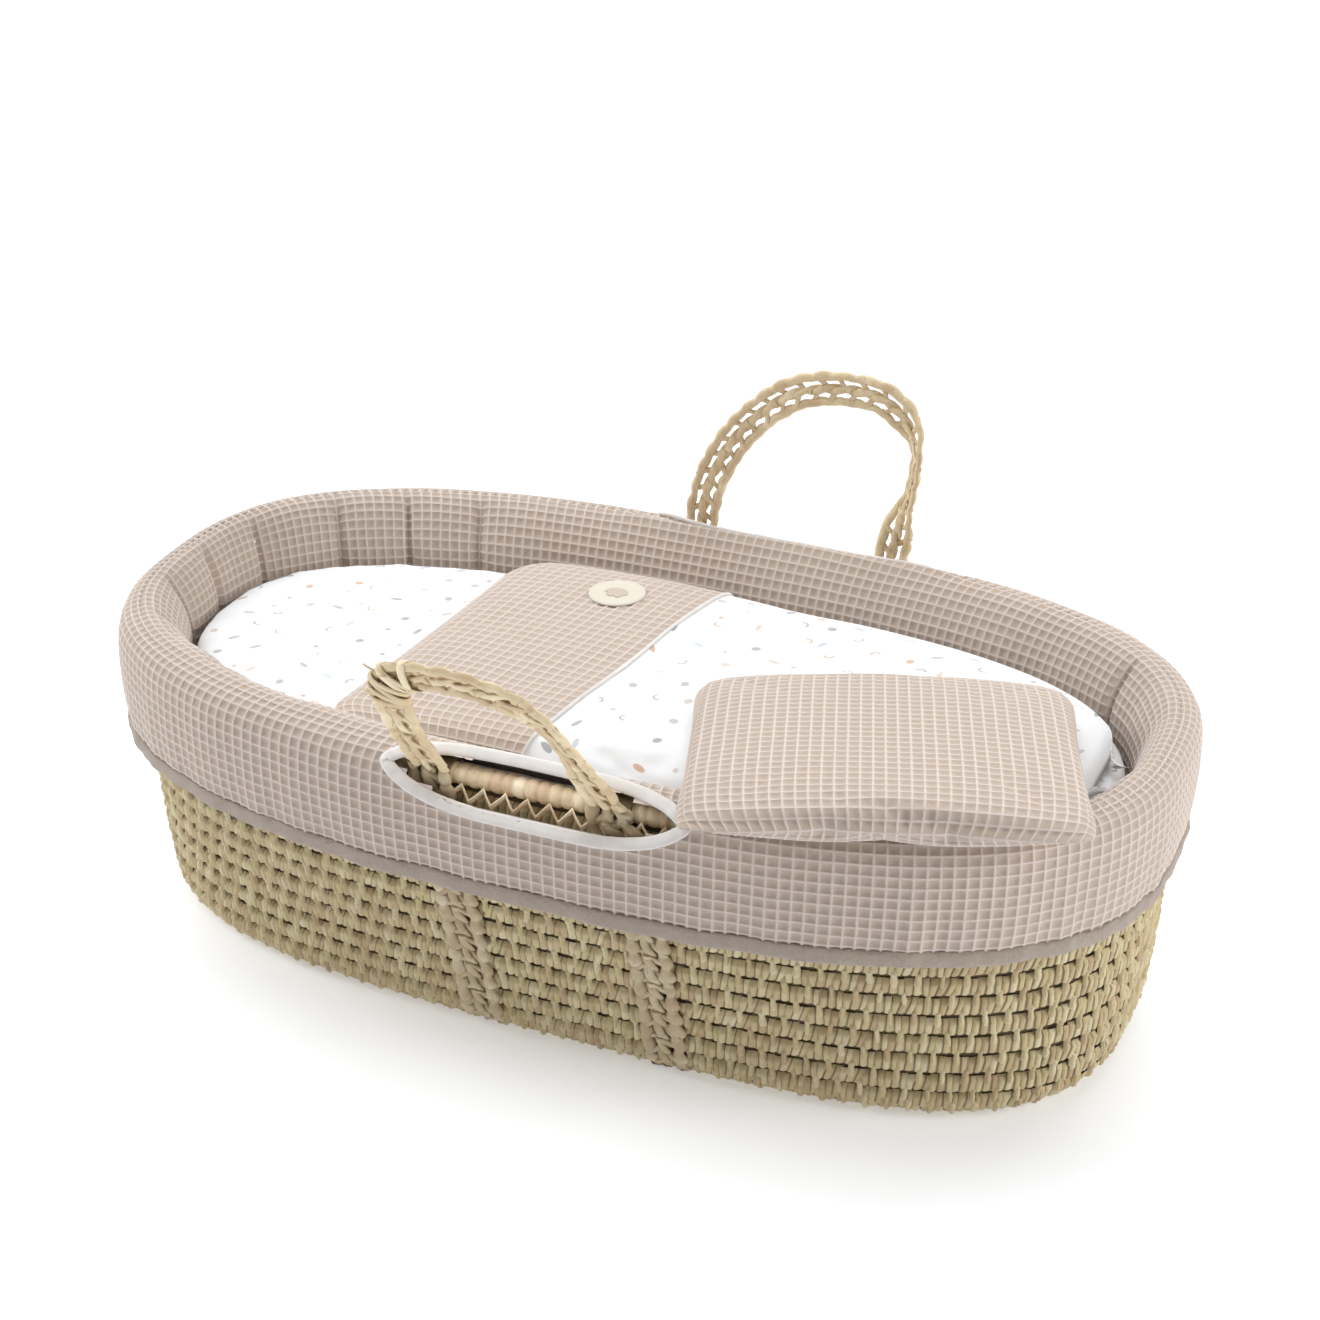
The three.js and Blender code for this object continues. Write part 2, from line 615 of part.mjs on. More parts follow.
function pillowSolid(shrink) {
  const top = pillowRows(shrink, PILLOW.up);
  const bottom = pillowRows(shrink, -PILLOW.down);
  return [[0, 0, PILLOW.up - shrink], ...reversed(top), ...bottom, [0, 0, -PILLOW.down + shrink]];
}

const pillow = new THREE.Group();
pillow.position.set(PILLOW.x, PILLOW.y, PILLOW.z);
const { degToRad } = THREE.MathUtils;
pillow.rotation.set(degToRad(PILLOW.tilt), 0, degToRad(PILLOW.turn), "ZXY");
basket.add(pillow);
const pillowSkin = ovalSolid(pillowSolid(0), PILLOW.segments);
const pillowHollow = ovalSolid(pillowSolid(PILLOW.cover), PILLOW.segments);
const { length: openingLength, width: openingWidth, depth: openingDepth } = PILLOW_OPENING;
const envelope = new THREE.BoxGeometry(openingLength, openingWidth, openingDepth);
envelope.translate(0, 0, -PILLOW.down);
pillow.add(add("pillow_cover", cut(pillowSkin, pillowHollow, envelope), waffle));
pillow.add(add("pillow_fill", ovalSolid(pillowSolid(PILLOW.cover + GAP), PILLOW.segments), wadding));

export default basket;
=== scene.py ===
import json
import math

import bmesh
import bpy
import numpy as np
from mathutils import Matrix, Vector

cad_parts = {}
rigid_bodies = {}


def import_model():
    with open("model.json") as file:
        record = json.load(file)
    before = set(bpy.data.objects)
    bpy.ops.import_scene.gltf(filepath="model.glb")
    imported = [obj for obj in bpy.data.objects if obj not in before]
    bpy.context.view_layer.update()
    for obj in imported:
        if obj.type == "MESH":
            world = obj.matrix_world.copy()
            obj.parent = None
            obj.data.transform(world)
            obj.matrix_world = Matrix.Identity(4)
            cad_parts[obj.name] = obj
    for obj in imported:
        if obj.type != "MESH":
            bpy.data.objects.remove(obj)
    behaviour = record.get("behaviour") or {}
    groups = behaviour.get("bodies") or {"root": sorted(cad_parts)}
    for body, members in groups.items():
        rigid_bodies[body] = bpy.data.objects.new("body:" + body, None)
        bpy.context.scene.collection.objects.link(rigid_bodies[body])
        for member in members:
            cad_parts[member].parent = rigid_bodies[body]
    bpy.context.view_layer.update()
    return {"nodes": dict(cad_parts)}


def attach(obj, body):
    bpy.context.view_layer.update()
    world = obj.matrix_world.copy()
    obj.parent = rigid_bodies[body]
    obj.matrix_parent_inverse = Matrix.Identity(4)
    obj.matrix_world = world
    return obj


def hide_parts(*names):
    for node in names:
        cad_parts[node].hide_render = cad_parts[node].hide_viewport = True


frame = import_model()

# ---- Camera, floor and light ----
# A long lens from the near left of the foot end, looking down on the basket. A white
# floor, a big soft light overhead and a softer one at each end, as in a product studio.
eye = Vector((0.6801, -1.5395, 1.1418))
aim = Vector((-0.0136, 0.0666, 0.2016))
camera_data = bpy.data.cameras.new("camera")
camera_data.lens = 70
camera_data.sensor_width = 36
camera = bpy.data.objects.new("camera", camera_data)
camera.location = eye
camera.rotation_euler = (aim - eye).to_track_quat("-Z", "Y").to_euler()
bpy.context.collection.objects.link(camera)
bpy.context.scene.camera = camera
bpy.context.scene.view_settings.view_transform = "Standard"


def soft_light(name, place, target, size, watts):
    data = bpy.data.lights.new(name, "AREA")
    data.shape = "DISK"
    data.size = size
    data.energy = watts
    lamp = bpy.data.objects.new(name, data)
    lamp.location = place
    direction = Vector(target) - Vector(place)
    lamp.rotation_euler = direction.to_track_quat("-Z", "Y").to_euler()
    bpy.context.collection.objects.link(lamp)


sky_data = bpy.data.lights.new("sky", "SUN")
sky_data.energy = 2.75
sky_data.angle = math.radians(75)
sky_data.color = (0.94, 0.97, 1)
sky = bpy.data.objects.new("sky", sky_data)
sky.rotation_euler = Vector((0.30, -0.42, -1)).to_track_quat("-Z", "Y").to_euler()
bpy.context.collection.objects.link(sky)
soft_light("head_side", (-2.4, -0.5, 1.6), (-0.1, 0, 0.15), 1.4, 34)
soft_light("foot_side", (2.6, 0.1, 1.3), (0.1, 0, 0.15), 1.4, 38)
world = bpy.data.worlds.new("studio")
world.use_nodes = True
world.node_tree.nodes["Background"].inputs["Color"].default_value = (1, 0.975, 0.94, 1)
world.node_tree.nodes["Background"].inputs["Strength"].default_value = 0.27
bpy.context.scene.world = world


class Finish:
    """A node material made from short calls: each returns an output socket to feed the next."""

    def __init__(self, name, roughness, **shader):
        self.material = bpy.data.materials.new(name)
        self.material.use_nodes = True
        self.tree = self.material.node_tree
        self.shader = self.tree.nodes["Principled BSDF"]
        self.shader.inputs["Roughness"].default_value = roughness
        for socket, value in shader.items():
            self.shader.inputs[socket.replace("_", " ")].default_value = value

    def feed(self, socket, value):
        if isinstance(value, bpy.types.NodeSocket):
            self.tree.links.new(value, socket)
        elif value is not None:
            socket.default_value = value

    def node(self, kind, inputs=None, output=0, **settings):
        node = self.tree.nodes.new(kind)
        for key, value in settings.items():
            setattr(node, key, value)
        for key, value in (inputs or {}).items():
            if value is not None:
                self.feed(node.inputs[key], value)
        return node.outputs[output]

    def place(self, uv=None):
        if uv is None:
            return self.node("ShaderNodeTexCoord", output="Object")
        return self.node("ShaderNodeUVMap", uv_map=uv)

    def value(self, attribute):
        return self.node("ShaderNodeAttribute", output="Fac", attribute_name=attribute)

    def stretch(self, vector, scale, turn=(0, 0, 0)):
        return self.node("ShaderNodeMapping", {"Vector": vector, "Scale": scale, "Rotation": turn})

    def noise(self, vector, scale, detail=3, rough=0.5, w=None):
        inputs = {"Vector": vector, "Scale": scale, "Detail": detail, "Roughness": rough, "W": w}
        dimensions = "3D" if w is None else "4D"
        return self.node("ShaderNodeTexNoise", inputs, "Fac", noise_dimensions=dimensions)

    def math(self, operation, *values):
        return self.node("ShaderNodeMath", dict(enumerate(values)), operation=operation)

    def times(self, a, b):
        return self.math("MULTIPLY", a, b)

    def plus(self, a, b):
        return self.math("ADD", a, b)

    def spread(self, value, low, high, out_low=0.0, out_high=1.0):
        inputs = {"Value": value, "From Min": low, "From Max": high, "To Min": out_low, "To Max": out_high}
        return self.node("ShaderNodeMapRange", inputs, interpolation_type="SMOOTHSTEP")

    def mix(self, factor, a, b):
        node = self.tree.nodes.new("ShaderNodeMix")
        node.data_type = "RGBA"
        for index, value in ((0, factor), (6, a), (7, b)):
            if isinstance(value, tuple) and len(value) == 3:
                value = (*value, 1)
            self.feed(node.inputs[index], value)
        return node.outputs[2]

    def ramp(self, factor, stops):
        node = self.tree.nodes.new("ShaderNodeValToRGB")
        self.feed(node.inputs[0], factor)
        elements = node.color_ramp.elements
        while len(elements) < len(stops):
            elements.new(0.5)
        for element, (position, colour) in zip(elements, stops):
            element.position = position
            element.color = (*colour, 1)
        return node.outputs[0]

    def bump(self, height, strength, distance, below=None):
        inputs = {"Height": height, "Strength": strength, "Distance": distance, "Normal": below}
        return self.node("ShaderNodeBump", inputs)

    def done(self, colour, normal=None):
        self.feed(self.shader.inputs["Base Color"], colour)
        self.feed(self.shader.inputs["Normal"], normal)
        return self.material


def angles_round(count):
    return np.linspace(0, 2 * np.pi, count + 1)[:-1]


floor_finish = Finish("studio_floor", 0.8, Specular_IOR_Level=0.1, Emission_Color=(1, 1, 1, 1),
                      Emission_Strength=0.32)
floor_mesh = bpy.data.meshes.new("floor")
reach = 14
floor_mesh.from_pydata([(-reach, -reach, 0), (reach, -reach, 0), (reach, reach, 0), (-reach, reach, 0)],
                       [], [(0, 1, 2, 3)])
floor_mesh.materials.append(floor_finish.done((0.78, 0.80, 0.83, 1)))
floor = bpy.data.objects.new("floor", floor_mesh)
bpy.context.collection.objects.link(floor)

# A white wall far round the floor closes the horizon. It takes no part in the lighting.
wall_finish = Finish("studio_wall", 1.0, Emission_Color=(1, 1, 1, 1), Emission_Strength=1.1)
WALL_SIDES, WALL_HEIGHT = 48, 30.0
ring = [(0.97 * reach * math.cos(a), 0.97 * reach * math.sin(a)) for a in angles_round(WALL_SIDES)]
wall_mesh = bpy.data.meshes.new("studio_wall")
wall_mesh.from_pydata([(x, y, z) for z in (0.0, WALL_HEIGHT) for x, y in ring], [],
                      [(i, i + WALL_SIDES, (i + 1) % WALL_SIDES + WALL_SIDES, (i + 1) % WALL_SIDES)
                       for i in range(WALL_SIDES)])
wall_mesh.materials.append(wall_finish.done((0.8, 0.8, 0.8, 1)))
studio_wall = bpy.data.objects.new("studio_wall", wall_mesh)
bpy.context.collection.objects.link(studio_wall)
studio_wall.visible_diffuse = studio_wall.visible_glossy = studio_wall.visible_shadow = False

# ---- Plaited wall ----
# Palm-leaf plait, sewn round in courses about 18 mm high. Each course is a row of folded
# leaf tiles, and a narrow leaf between two tiles ties the course to the one below.
OVAL_FULLNESS = 2.63
MM = 0.001


def blunt(value, power):
    """A sine or cosine drawn out towards its ends, with its sign kept."""
    return np.sign(value) * abs(value) ** power


def oval(a, b, fullness, turns):
    return a * blunt(np.cos(turns), 2 / fullness), b * blunt(np.sin(turns), 2 / fullness)


def even_turns(count, a=0.40, b=0.21, fullness=OVAL_FULLNESS):
    """Turns at which an oval outline is cut into equal lengths, starting at the foot end."""
    dense = np.linspace(0, 2 * np.pi, 4001)
    x, y = oval(a, b, fullness, dense)
    run = np.concatenate([[0], np.cumsum(np.hypot(np.diff(x), np.diff(y)))])
    return np.interp(np.arange(count) / count * run[-1], run, dense)


def run_along(points):
    """Distance run along a path at each of its points."""
    return np.concatenate([[0], np.cumsum(np.linalg.norm(np.diff(points, axis=0), axis=1))])


def sampled(values, run, at):
    """Columns of values known at distances 'run', read at distances 'at'."""
    return np.stack([np.interp(at, run, column) for column in values.T], 1)


def path_through(points, count):
    """Equally spaced points on a smooth path through a few given ones."""
    points = np.asarray(points, float)
    padded = np.vstack([2 * points[0] - points[1], points, 2 * points[-1] - points[-2]])
    steps = np.linspace(0, 1, 24, endpoint=False)[:, None]
    pieces = []
    for p0, p1, p2, p3 in zip(padded, padded[1:], padded[2:], padded[3:]):
        pieces.append(0.5 * (2 * p1 + (p2 - p0) * steps + (2 * p0 - 5 * p1 + 4 * p2 - p3) * steps ** 2
                             + (3 * p1 - p0 - 3 * p2 + p3) * steps ** 3))
    dense = np.vstack([*pieces, points[-1:]])
    run = run_along(dense[:, :3])
    return sampled(dense, run, np.linspace(0, run[-1], count))


def unit(vectors):
    return vectors / np.linalg.norm(vectors, axis=-1, keepdims=True)


def oval_surface(rows, turns):
    """Points (rows, turns, 3) of rows given as half length, half width, height and fullness."""
    rows = np.asarray(rows, float)
    fullness = rows[:, 3:4] if rows.shape[1] > 3 else np.full((len(rows), 1), OVAL_FULLNESS)
    x, y = oval(rows[:, 0:1], rows[:, 1:2], fullness, turns[None, :])
    return np.stack([x, y, np.broadcast_to(rows[:, 2:3], x.shape)], -1)


def lattice_normals(points, wrap):
    """Unit normals of a lattice of points, from its neighbours along and across."""
    def along(axis, wrapped):
        if wrapped:
            return np.roll(points, -1, axis) - np.roll(points, 1, axis)
        return np.gradient(points, axis=axis)
    normals = np.cross(along(1, wrap[1]), along(0, wrap[0]))
    return normals / np.maximum(np.linalg.norm(normals, axis=-1, keepdims=True), 1e-12)


def lattice(name, points, material, uv=None, wrap=(False, True), keep=None, flip=False):
    """A mesh on a lattice (rows, columns, 3) of points, joined round in wrapped directions."""
    rows, columns = points.shape[:2]
    r, c = np.meshgrid(np.arange(rows - (not wrap[0])), np.arange(columns - (not wrap[1])), indexing="ij")
    steps = [(0, 0), (0, 1), (1, 1), (1, 0)]
    if flip:
        steps.reverse()
    index = [((r + i) % rows) * columns + (c + j) % columns for i, j in steps]
    quads = np.stack(index, -1).reshape(-1, 4)
    chosen = np.ones(len(quads), bool) if keep is None else keep.reshape(-1)
    mesh = bpy.data.meshes.new(name)
    quads = quads[chosen]
    mesh.vertices.add(rows * columns)
    mesh.vertices.foreach_set("co", points.reshape(-1).astype(np.float32))
    mesh.loops.add(quads.size)
    mesh.loops.foreach_set("vertex_index", quads.reshape(-1).astype(np.int32))
    mesh.polygons.add(len(quads))
    mesh.polygons.foreach_set("loop_start", np.arange(0, quads.size, 4, dtype=np.int32))
    mesh.polygons.foreach_set("use_smooth", np.ones(len(quads), bool))
    mesh.update(calc_edges=True)
    if uv is not None:
        u, v = uv
        corner = np.stack([np.stack([u[c + j], v[r + i]], -1) for i, j in steps], -2).reshape(-1, 4, 2)
        layer = mesh.uv_layers.new(name="cells")
        layer.data.foreach_set("uv", corner[chosen].reshape(-1).astype(np.float32))
    mesh.materials.append(material)
    return mesh


def shown(name, mesh):
    piece = bpy.data.objects.new(name, mesh)
    bpy.context.collection.objects.link(piece)
    return piece


def fitted(name, mesh, body, finish, *nodes):
    """A piece that rides on a body and stands for CAD nodes, which it hides; its finish argument is not
    used.
    """
    piece = shown(name, mesh)
    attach(piece, body)
    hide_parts(*nodes)
    return piece


def without_loose(mesh):
    """The same mesh without points that no face uses."""
    used = np.zeros(len(mesh.vertices), bool)
    corners = np.empty(len(mesh.loops), np.int32)
    mesh.loops.foreach_get("vertex_index", corners)
    used[corners] = True
    work = bmesh.new()
    work.from_mesh(mesh)
    work.verts.ensure_lookup_table()
    bmesh.ops.delete(work, geom=[v for v in work.verts if not used[v.index]], context="VERTS")
    work.to_mesh(mesh)
    work.free()
    return mesh


# Dried palm leaf: long fibres along the leaf, each leaf a little greener or browner.
def palm_finish(name, warm, fibres, bright=1.0, folds=0):
    leaf = Finish(name, 0.62, Specular_IOR_Level=0.32, Sheen_Weight=0.08)
    uv = leaf.place("cells")
    tone = leaf.value("leaf_shade")
    if folds:
        across_leaf = leaf.node("ShaderNodeSeparateXYZ", {"Vector": uv}, "X")
        fold_place = leaf.times(across_leaf, float(folds))
        fold_shift = leaf.times(leaf.math("FLOOR", fold_place), 0.37)
        tone = leaf.math("FRACT", leaf.math("MULTIPLY_ADD", tone, 7.3, fold_shift))
    fine = leaf.noise(leaf.stretch(uv, fibres), 1.0, 4, 0.6, leaf.times(tone, 9.0))
    broad = leaf.noise(leaf.place(), 26.0, 2, 0.5)

    def leaf_colour(cool, sunny):
        return tuple(bright * (c + (w - c) * warm) for c, w in zip(cool, sunny))

    green = leaf_colour((0.53, 0.445, 0.24), (0.56, 0.45, 0.30))
    brown = leaf_colour((0.47, 0.35, 0.20), (0.49, 0.36, 0.235))
    pale = leaf_colour((0.63, 0.545, 0.34), (0.68, 0.575, 0.42))
    sunny_side = leaf.mix(leaf.spread(tone, 0.05, 0.4), pale, green)
    toned = leaf.mix(leaf.spread(tone, 0.62, 0.98), sunny_side, brown)
    patchy = leaf.mix(leaf.spread(broad, 0.42, 0.7, 0, 0.45), toned, brown)
    streaked = leaf.mix(leaf.spread(fine, 0.5, 0.78, 0, 0.5), patchy, (0.30, 0.22, 0.11))
    lit = leaf.mix(leaf.spread(fine, 0.2, 0.42, 0.4, 0), streaked, pale)
    if folds:
        # A dark line along each fold's crease is painted shade, where the folded leaf shades itself.
        painted_fold_shade = leaf.spread(leaf.math("PINGPONG", fold_place, 0.5), 0.02, 0.16, 0.8, 0)
        lit = leaf.mix(painted_fold_shade, lit, (0.17, 0.12, 0.06))
    return leaf.done(lit, leaf.bump(fine, 0.55, 0.6 * MM))


palm_look = palm_finish("palm_plait", 0.15, (30, 1.4, 1), 1.05, 3)
warm_palm_look = palm_finish("palm_braid", 0.8, (1.3, 9, 1), 0.95)
# The rim wrap's palm is brightened 1.6 times past the leaf's own colour: painted light on the wrap and
# loops inside the shaded slots.
painted_light_wrap_look = palm_finish("palm_wrap", 1.0, (5, 1.2, 1), 1.6)

# Palm leaf painted far darker than its own colour: painted shade, for the wall's core seen through gaps in
# the plait and for the lashings.
painted_shade_leaf_finish = Finish("palm_painted_shade", 0.9)
painted_shade_leaf_noise = painted_shade_leaf_finish.noise(painted_shade_leaf_finish.stretch(painted_shade_leaf_finish.place(), (1, 1, 6)), 90.0, 3)
painted_shade_leaf_look = painted_shade_leaf_finish.done(painted_shade_leaf_finish.mix(painted_shade_leaf_noise, (0.10, 0.075, 0.04), (0.22, 0.17, 0.095)),
                         painted_shade_leaf_finish.bump(painted_shade_leaf_noise, 0.6, 1 * MM))

WALL_FIT = ("basket", "palm_plait", "basket_wall")
WALL_ROWS = [
    (0.3600, 0.1560, 0.0030, 3.2), (0.3735, 0.1640, 0.0090, 3.2), (0.3870, 0.1690, 0.0230, 3.0),
    (0.3930, 0.1790, 0.0600, 2.8), (0.3960, 0.1930, 0.1100, 2.65), (0.3980, 0.2060, 0.1600, 2.63),
    (0.3990, 0.2075, 0.2000, 2.63), (0.3985, 0.2045, 0.2290, 2.63),
]
COURSES = 13
UNITS = 122
LEAF_BULGE = 2.6 * MM
wall_path = path_through(WALL_ROWS, 221)
wall_rng = np.random.default_rng(11)

# A dark core just inside the plait, in the darkened palm: painted shade that shows through the gaps
# between the leaves.
core_rows = path_through(WALL_ROWS, 45)
core_turns = even_turns(240)
core_out = oval_surface(core_rows, core_turns)
core_normals = lattice_normals(core_out, (False, True))
ring_shell = np.concatenate([core_out - core_normals * 3.4 * MM, (core_out - core_normals * 7 * MM)[::-1]])
fitted("wall_core", lattice("wall_core", ring_shell, painted_shade_leaf_look, wrap=(True, True)), *WALL_FIT)


def wall_spots(course_shift, unit_shift, jitter):
    """Places on the wall, one for each leaf, with their outward and sideways directions."""
    spots, outward, along, course_of = [], [], [], []
    for course in range(COURSES):
        middle = (course + 0.5 + course_shift) / COURSES * (len(wall_path) - 1)
        middle = min(max(middle, 2), len(wall_path) - 3)
        rows = np.stack([np.interp(middle + d, np.arange(len(wall_path)), column)
                         for d in (-2, 0, 2) for column in wall_path.T]).reshape(3, -1)
        turns = even_turns(4 * UNITS, *rows[1][[0, 1, 3]])
        half = 2 * (course % 2)
        surface = oval_surface(rows, turns)
        normals = lattice_normals(surface, (False, True))[1]
        sideways = np.roll(surface[1], -1, 0) - np.roll(surface[1], 1, 0)
        picks = (4 * np.arange(UNITS) + half + int(round(4 * unit_shift))) % (4 * UNITS)
        spots.append(surface[1][picks])
        outward.append(normals[picks])
        along.append(unit(sideways[picks]))
        course_of.append(np.full(UNITS, course))
    outward, along = np.vstack(outward), np.vstack(along)
    outward = outward + wall_rng.normal(0, jitter, outward.shape)
    along = along + wall_rng.normal(0, jitter, along.shape) * (0, 0, 1)
    return np.vstack(spots), outward, along, np.concatenate(course_of)


def leaf_mesh(name, width, height, columns, rows, shape, material):
    """One leaf patch, flat in X and Y with its bulge in Z, from a shape function of (-1..1, -1..1)."""
    across, up = np.meshgrid(np.linspace(-1, 1, columns), np.linspace(-1, 1, rows))
    x, y, z = shape(across, up)
    points = np.stack([x * width / 2, y * height / 2, z], -1)
    uv = (np.linspace(0, 1, columns + 1), np.linspace(0, 1, rows + 1) * height / width)
    return lattice(name, points, material, uv=uv, wrap=(False, False))


def tile_shape(seed):
    rng = np.random.default_rng(seed)
    folds = 3
    heights = rng.uniform(0.55, 1.0, folds + 1)
    lean = rng.normal(0.06, 0.09)
    shifts = rng.normal(0, 0.05, folds + 1)

    def shape(across, up):
        along = (across + 1) / 2 * folds
        fold = np.clip(along.astype(int), 0, folds - 1)
        crest = 1 - np.abs(2 * (along - fold) - 1) ** 2.2
        z = LEAF_BULGE * (0.1 + 0.9 * crest * heights[fold]) * (1 - np.abs(up) ** 5)
        tuck = np.where(np.abs(across) > 0.97, -0.8 * MM, 0) + np.where(np.abs(up) > 0.97, -2.2 * MM, 0)
        return across + (lean + shifts[fold]) * up, up + 0.6 * shifts[fold] * np.abs(up), z + tuck
    return shape


def tie_shape(seed):
    rng = np.random.default_rng(seed)
    lean = rng.normal(0, 0.16)
    waist = rng.uniform(0.25, 0.4)

    def shape(across, up):
        narrow = 1 - waist * np.exp(-((up - 0.1) / 0.22) ** 2)
        z = 1.5 * MM * (1 - across ** 2) * (1 - up ** 6) + 1.7 * MM * (1 - 0.8 * up ** 4)
        z = z - 1.1 * MM * np.exp(-((up - 0.1) / 0.2) ** 2)
        tuck = np.where(np.abs(across) > 0.97, -1.5 * MM, 0) - np.where(np.abs(up) > 0.97, 2.0 * MM, 0)
        return across * narrow + lean * up, up, z + tuck
    return shape


def leaf_family(name, count, width, height, columns, rows, shape, material, first_seed):
    family = bpy.data.collections.new(name)
    for i in range(count):
        mesh = leaf_mesh(f"{name}_{i}", width, height, columns, rows, shape(first_seed + i), material)
        family.objects.link(bpy.data.objects.new(f"{name}_{i}", mesh))
    return family


def grow_tree(name):
    """Geometry Nodes that set one of a family of shapes on each point, turned to its directions."""
    tree = bpy.data.node_groups.new(name, "GeometryNodeTree")
    sockets = {"Geometry": "Geometry", "Family": "Collection", "Shapes": "Int", "Seed": "Int",
               "Look": "Material"}
    for label, kind in sockets.items():
        tree.interface.new_socket(label, in_out="INPUT", socket_type="NodeSocket" + kind)
    tree.interface.new_socket("Geometry", in_out="OUTPUT", socket_type="NodeSocketGeometry")

    def new(kind, **settings):
        node = tree.nodes.new(kind)
        for key, value in settings.items():
            setattr(node, key, value)
        return node

    def join(source, output, target, name_or_place):
        tree.links.new(source.outputs[output], target.inputs[name_or_place])

    def attribute(label, target, socket):
        node = new("GeometryNodeInputNamedAttribute", data_type="FLOAT_VECTOR")
        node.inputs["Name"].default_value = label
        join(node, "Attribute", target, socket)

    given, result = new("NodeGroupInput"), new("NodeGroupOutput")
    outward = new("FunctionNodeAlignRotationToVector", axis="Z")
    attribute("outward", outward, "Vector")
    turned = new("FunctionNodeAlignRotationToVector", axis="X", pivot_axis="Z")
    join(outward, "Rotation", turned, "Rotation")
    attribute("along", turned, "Vector")
    family = new("GeometryNodeCollectionInfo")
    family.inputs["Separate Children"].default_value = True
    family.inputs["Reset Children"].default_value = True
    join(given, "Family", family, "Collection")
    pick = new("FunctionNodeRandomValue", data_type="INT")
    join(given, "Shapes", pick, 5)
    join(given, "Seed", pick, "Seed")
    instances = new("GeometryNodeInstanceOnPoints")
    instances.inputs["Pick Instance"].default_value = True
    join(given, "Geometry", instances, "Points")
    join(family, "Instances", instances, "Instance")
    join(pick, 2, instances, "Instance Index")
    join(turned, "Rotation", instances, "Rotation")
    attribute("stretch", instances, "Scale")
    shade = new("FunctionNodeRandomValue")
    join(given, "Seed", shade, "Seed")
    store = new("GeometryNodeStoreNamedAttribute", domain="INSTANCE")
    store.inputs["Name"].default_value = "leaf_shade"
    join(instances, "Instances", store, "Geometry")
    join(shade, 1, store, "Value")
    real = new("GeometryNodeRealizeInstances")
    join(store, "Geometry", real, "Geometry")
    look = new("GeometryNodeSetMaterial")
    join(real, "Geometry", look, "Geometry")
    join(given, "Look", look, "Material")
    join(look, "Geometry", result, "Geometry")
    return tree


leaf_tree = grow_tree("leaves_on_points")


def grown(name, family, spots, outward, along, stretch, seed, material):
    """The plain mesh of one shape of the family at every spot."""
    seeds = bpy.data.meshes.new(name + "_spots")
    seeds.from_pydata([tuple(p) for p in spots], [], [])
    for label, values in (("outward", outward), ("along", along), ("stretch", stretch)):
        layer = seeds.attributes.new(label, "FLOAT_VECTOR", "POINT")
        layer.data.foreach_set("vector", np.asarray(values, np.float32).reshape(-1))
    carrier = shown(name + "_carrier", seeds)
    modifier = carrier.modifiers.new("leaves", "NODES")
    modifier.node_group = leaf_tree
    given = {"Family": family, "Shapes": len(family.objects) - 1, "Seed": seed, "Look": material}
    for item in leaf_tree.interface.items_tree:
        if item.in_out == "INPUT" and item.name in given:
            modifier[item.identifier] = given[item.name]
    evaluated = carrier.evaluated_get(bpy.context.evaluated_depsgraph_get())
    mesh = bpy.data.meshes.new_from_object(evaluated)
    mesh.name = name
    bpy.data.objects.remove(carrier)
    for polygon in mesh.polygons:
        polygon.use_smooth = True
    return mesh


def resting(mesh):
    """The mesh with whatever hangs below the ground pressed flat on it."""
    places = np.empty(len(mesh.vertices) * 3, np.float32)
    mesh.vertices.foreach_get("co", places)
    places[2::3] = np.maximum(places[2::3], 0.3 * MM)
    mesh.vertices.foreach_set("co", places)
    mesh.update()
    return mesh


UNIT = 17 * MM
tie_look = palm_finish("palm_tie", 0.15, (8, 1.4, 1), 1.05)
COURSE = 18.1 * MM
tiles = leaf_family("tile", 6, UNIT * 1.02, COURSE * 0.82, 16, 7, tile_shape, palm_look, 20)
ties = leaf_family("tie", 5, UNIT * 0.30, COURSE * 0.95, 5, 8, tie_shape, palm_look, 40)
spots, outward, along, course_of = wall_spots(0.0, 0.0, 0.02)
stretch = 1 + wall_rng.normal(0, (0.03, 0.03, 0.16), spots.shape)
for turn_of in (0, 1):
    chosen = course_of % 2 == turn_of
    mesh = grown(f"wall_tiles_{turn_of}", tiles, spots[chosen], outward[chosen], along[chosen],
                 stretch[chosen], 3 + turn_of, palm_look)
    fitted(f"wall_tiles_{turn_of}", resting(mesh), *WALL_FIT)
spots, outward, along, course_of = wall_spots(-0.5, 0.5, 0.04)
above_floor = course_of > 0
stretch = 1 + wall_rng.normal(0, (0.14, 0.05, 0.12), spots.shape)
tie_mesh = grown("wall_ties", ties, spots[above_floor], outward[above_floor], along[above_floor],
                 stretch[above_floor], 5, tie_look)
fitted("wall_ties", resting(tie_mesh), *WALL_FIT)

# ---- Floor of the basket ----
# The same plait laid flat in an oval coil, seen only from below. Its rings are sewn edge
# to edge, so each is a low round bead with the leaves lying across it.
BASE_RINGS = 7
base_turns = even_turns(420)
ring_steps = np.linspace(0, 1, BASE_RINGS * 7 + 1)
base_rows = [(0.3640 * s + 0.0005, 0.1600 * s ** 1.05 + 0.0005, 0.0032, 2.1 + 1.1 * s)
             for s in ring_steps[:0:-1]]
under = oval_surface(base_rows, base_turns)
bead = np.abs(np.sin(np.pi * BASE_RINGS * ring_steps[:0:-1]))[:, None] ** 0.6
leaf_ribs = np.abs(np.sin(60 * base_turns + 1.6 * np.floor(BASE_RINGS * ring_steps[:0:-1])[:, None]))
under[..., 2] = 3.2 * MM - 2.6 * MM * bead * (0.72 + 0.28 * leaf_ribs ** 0.5)
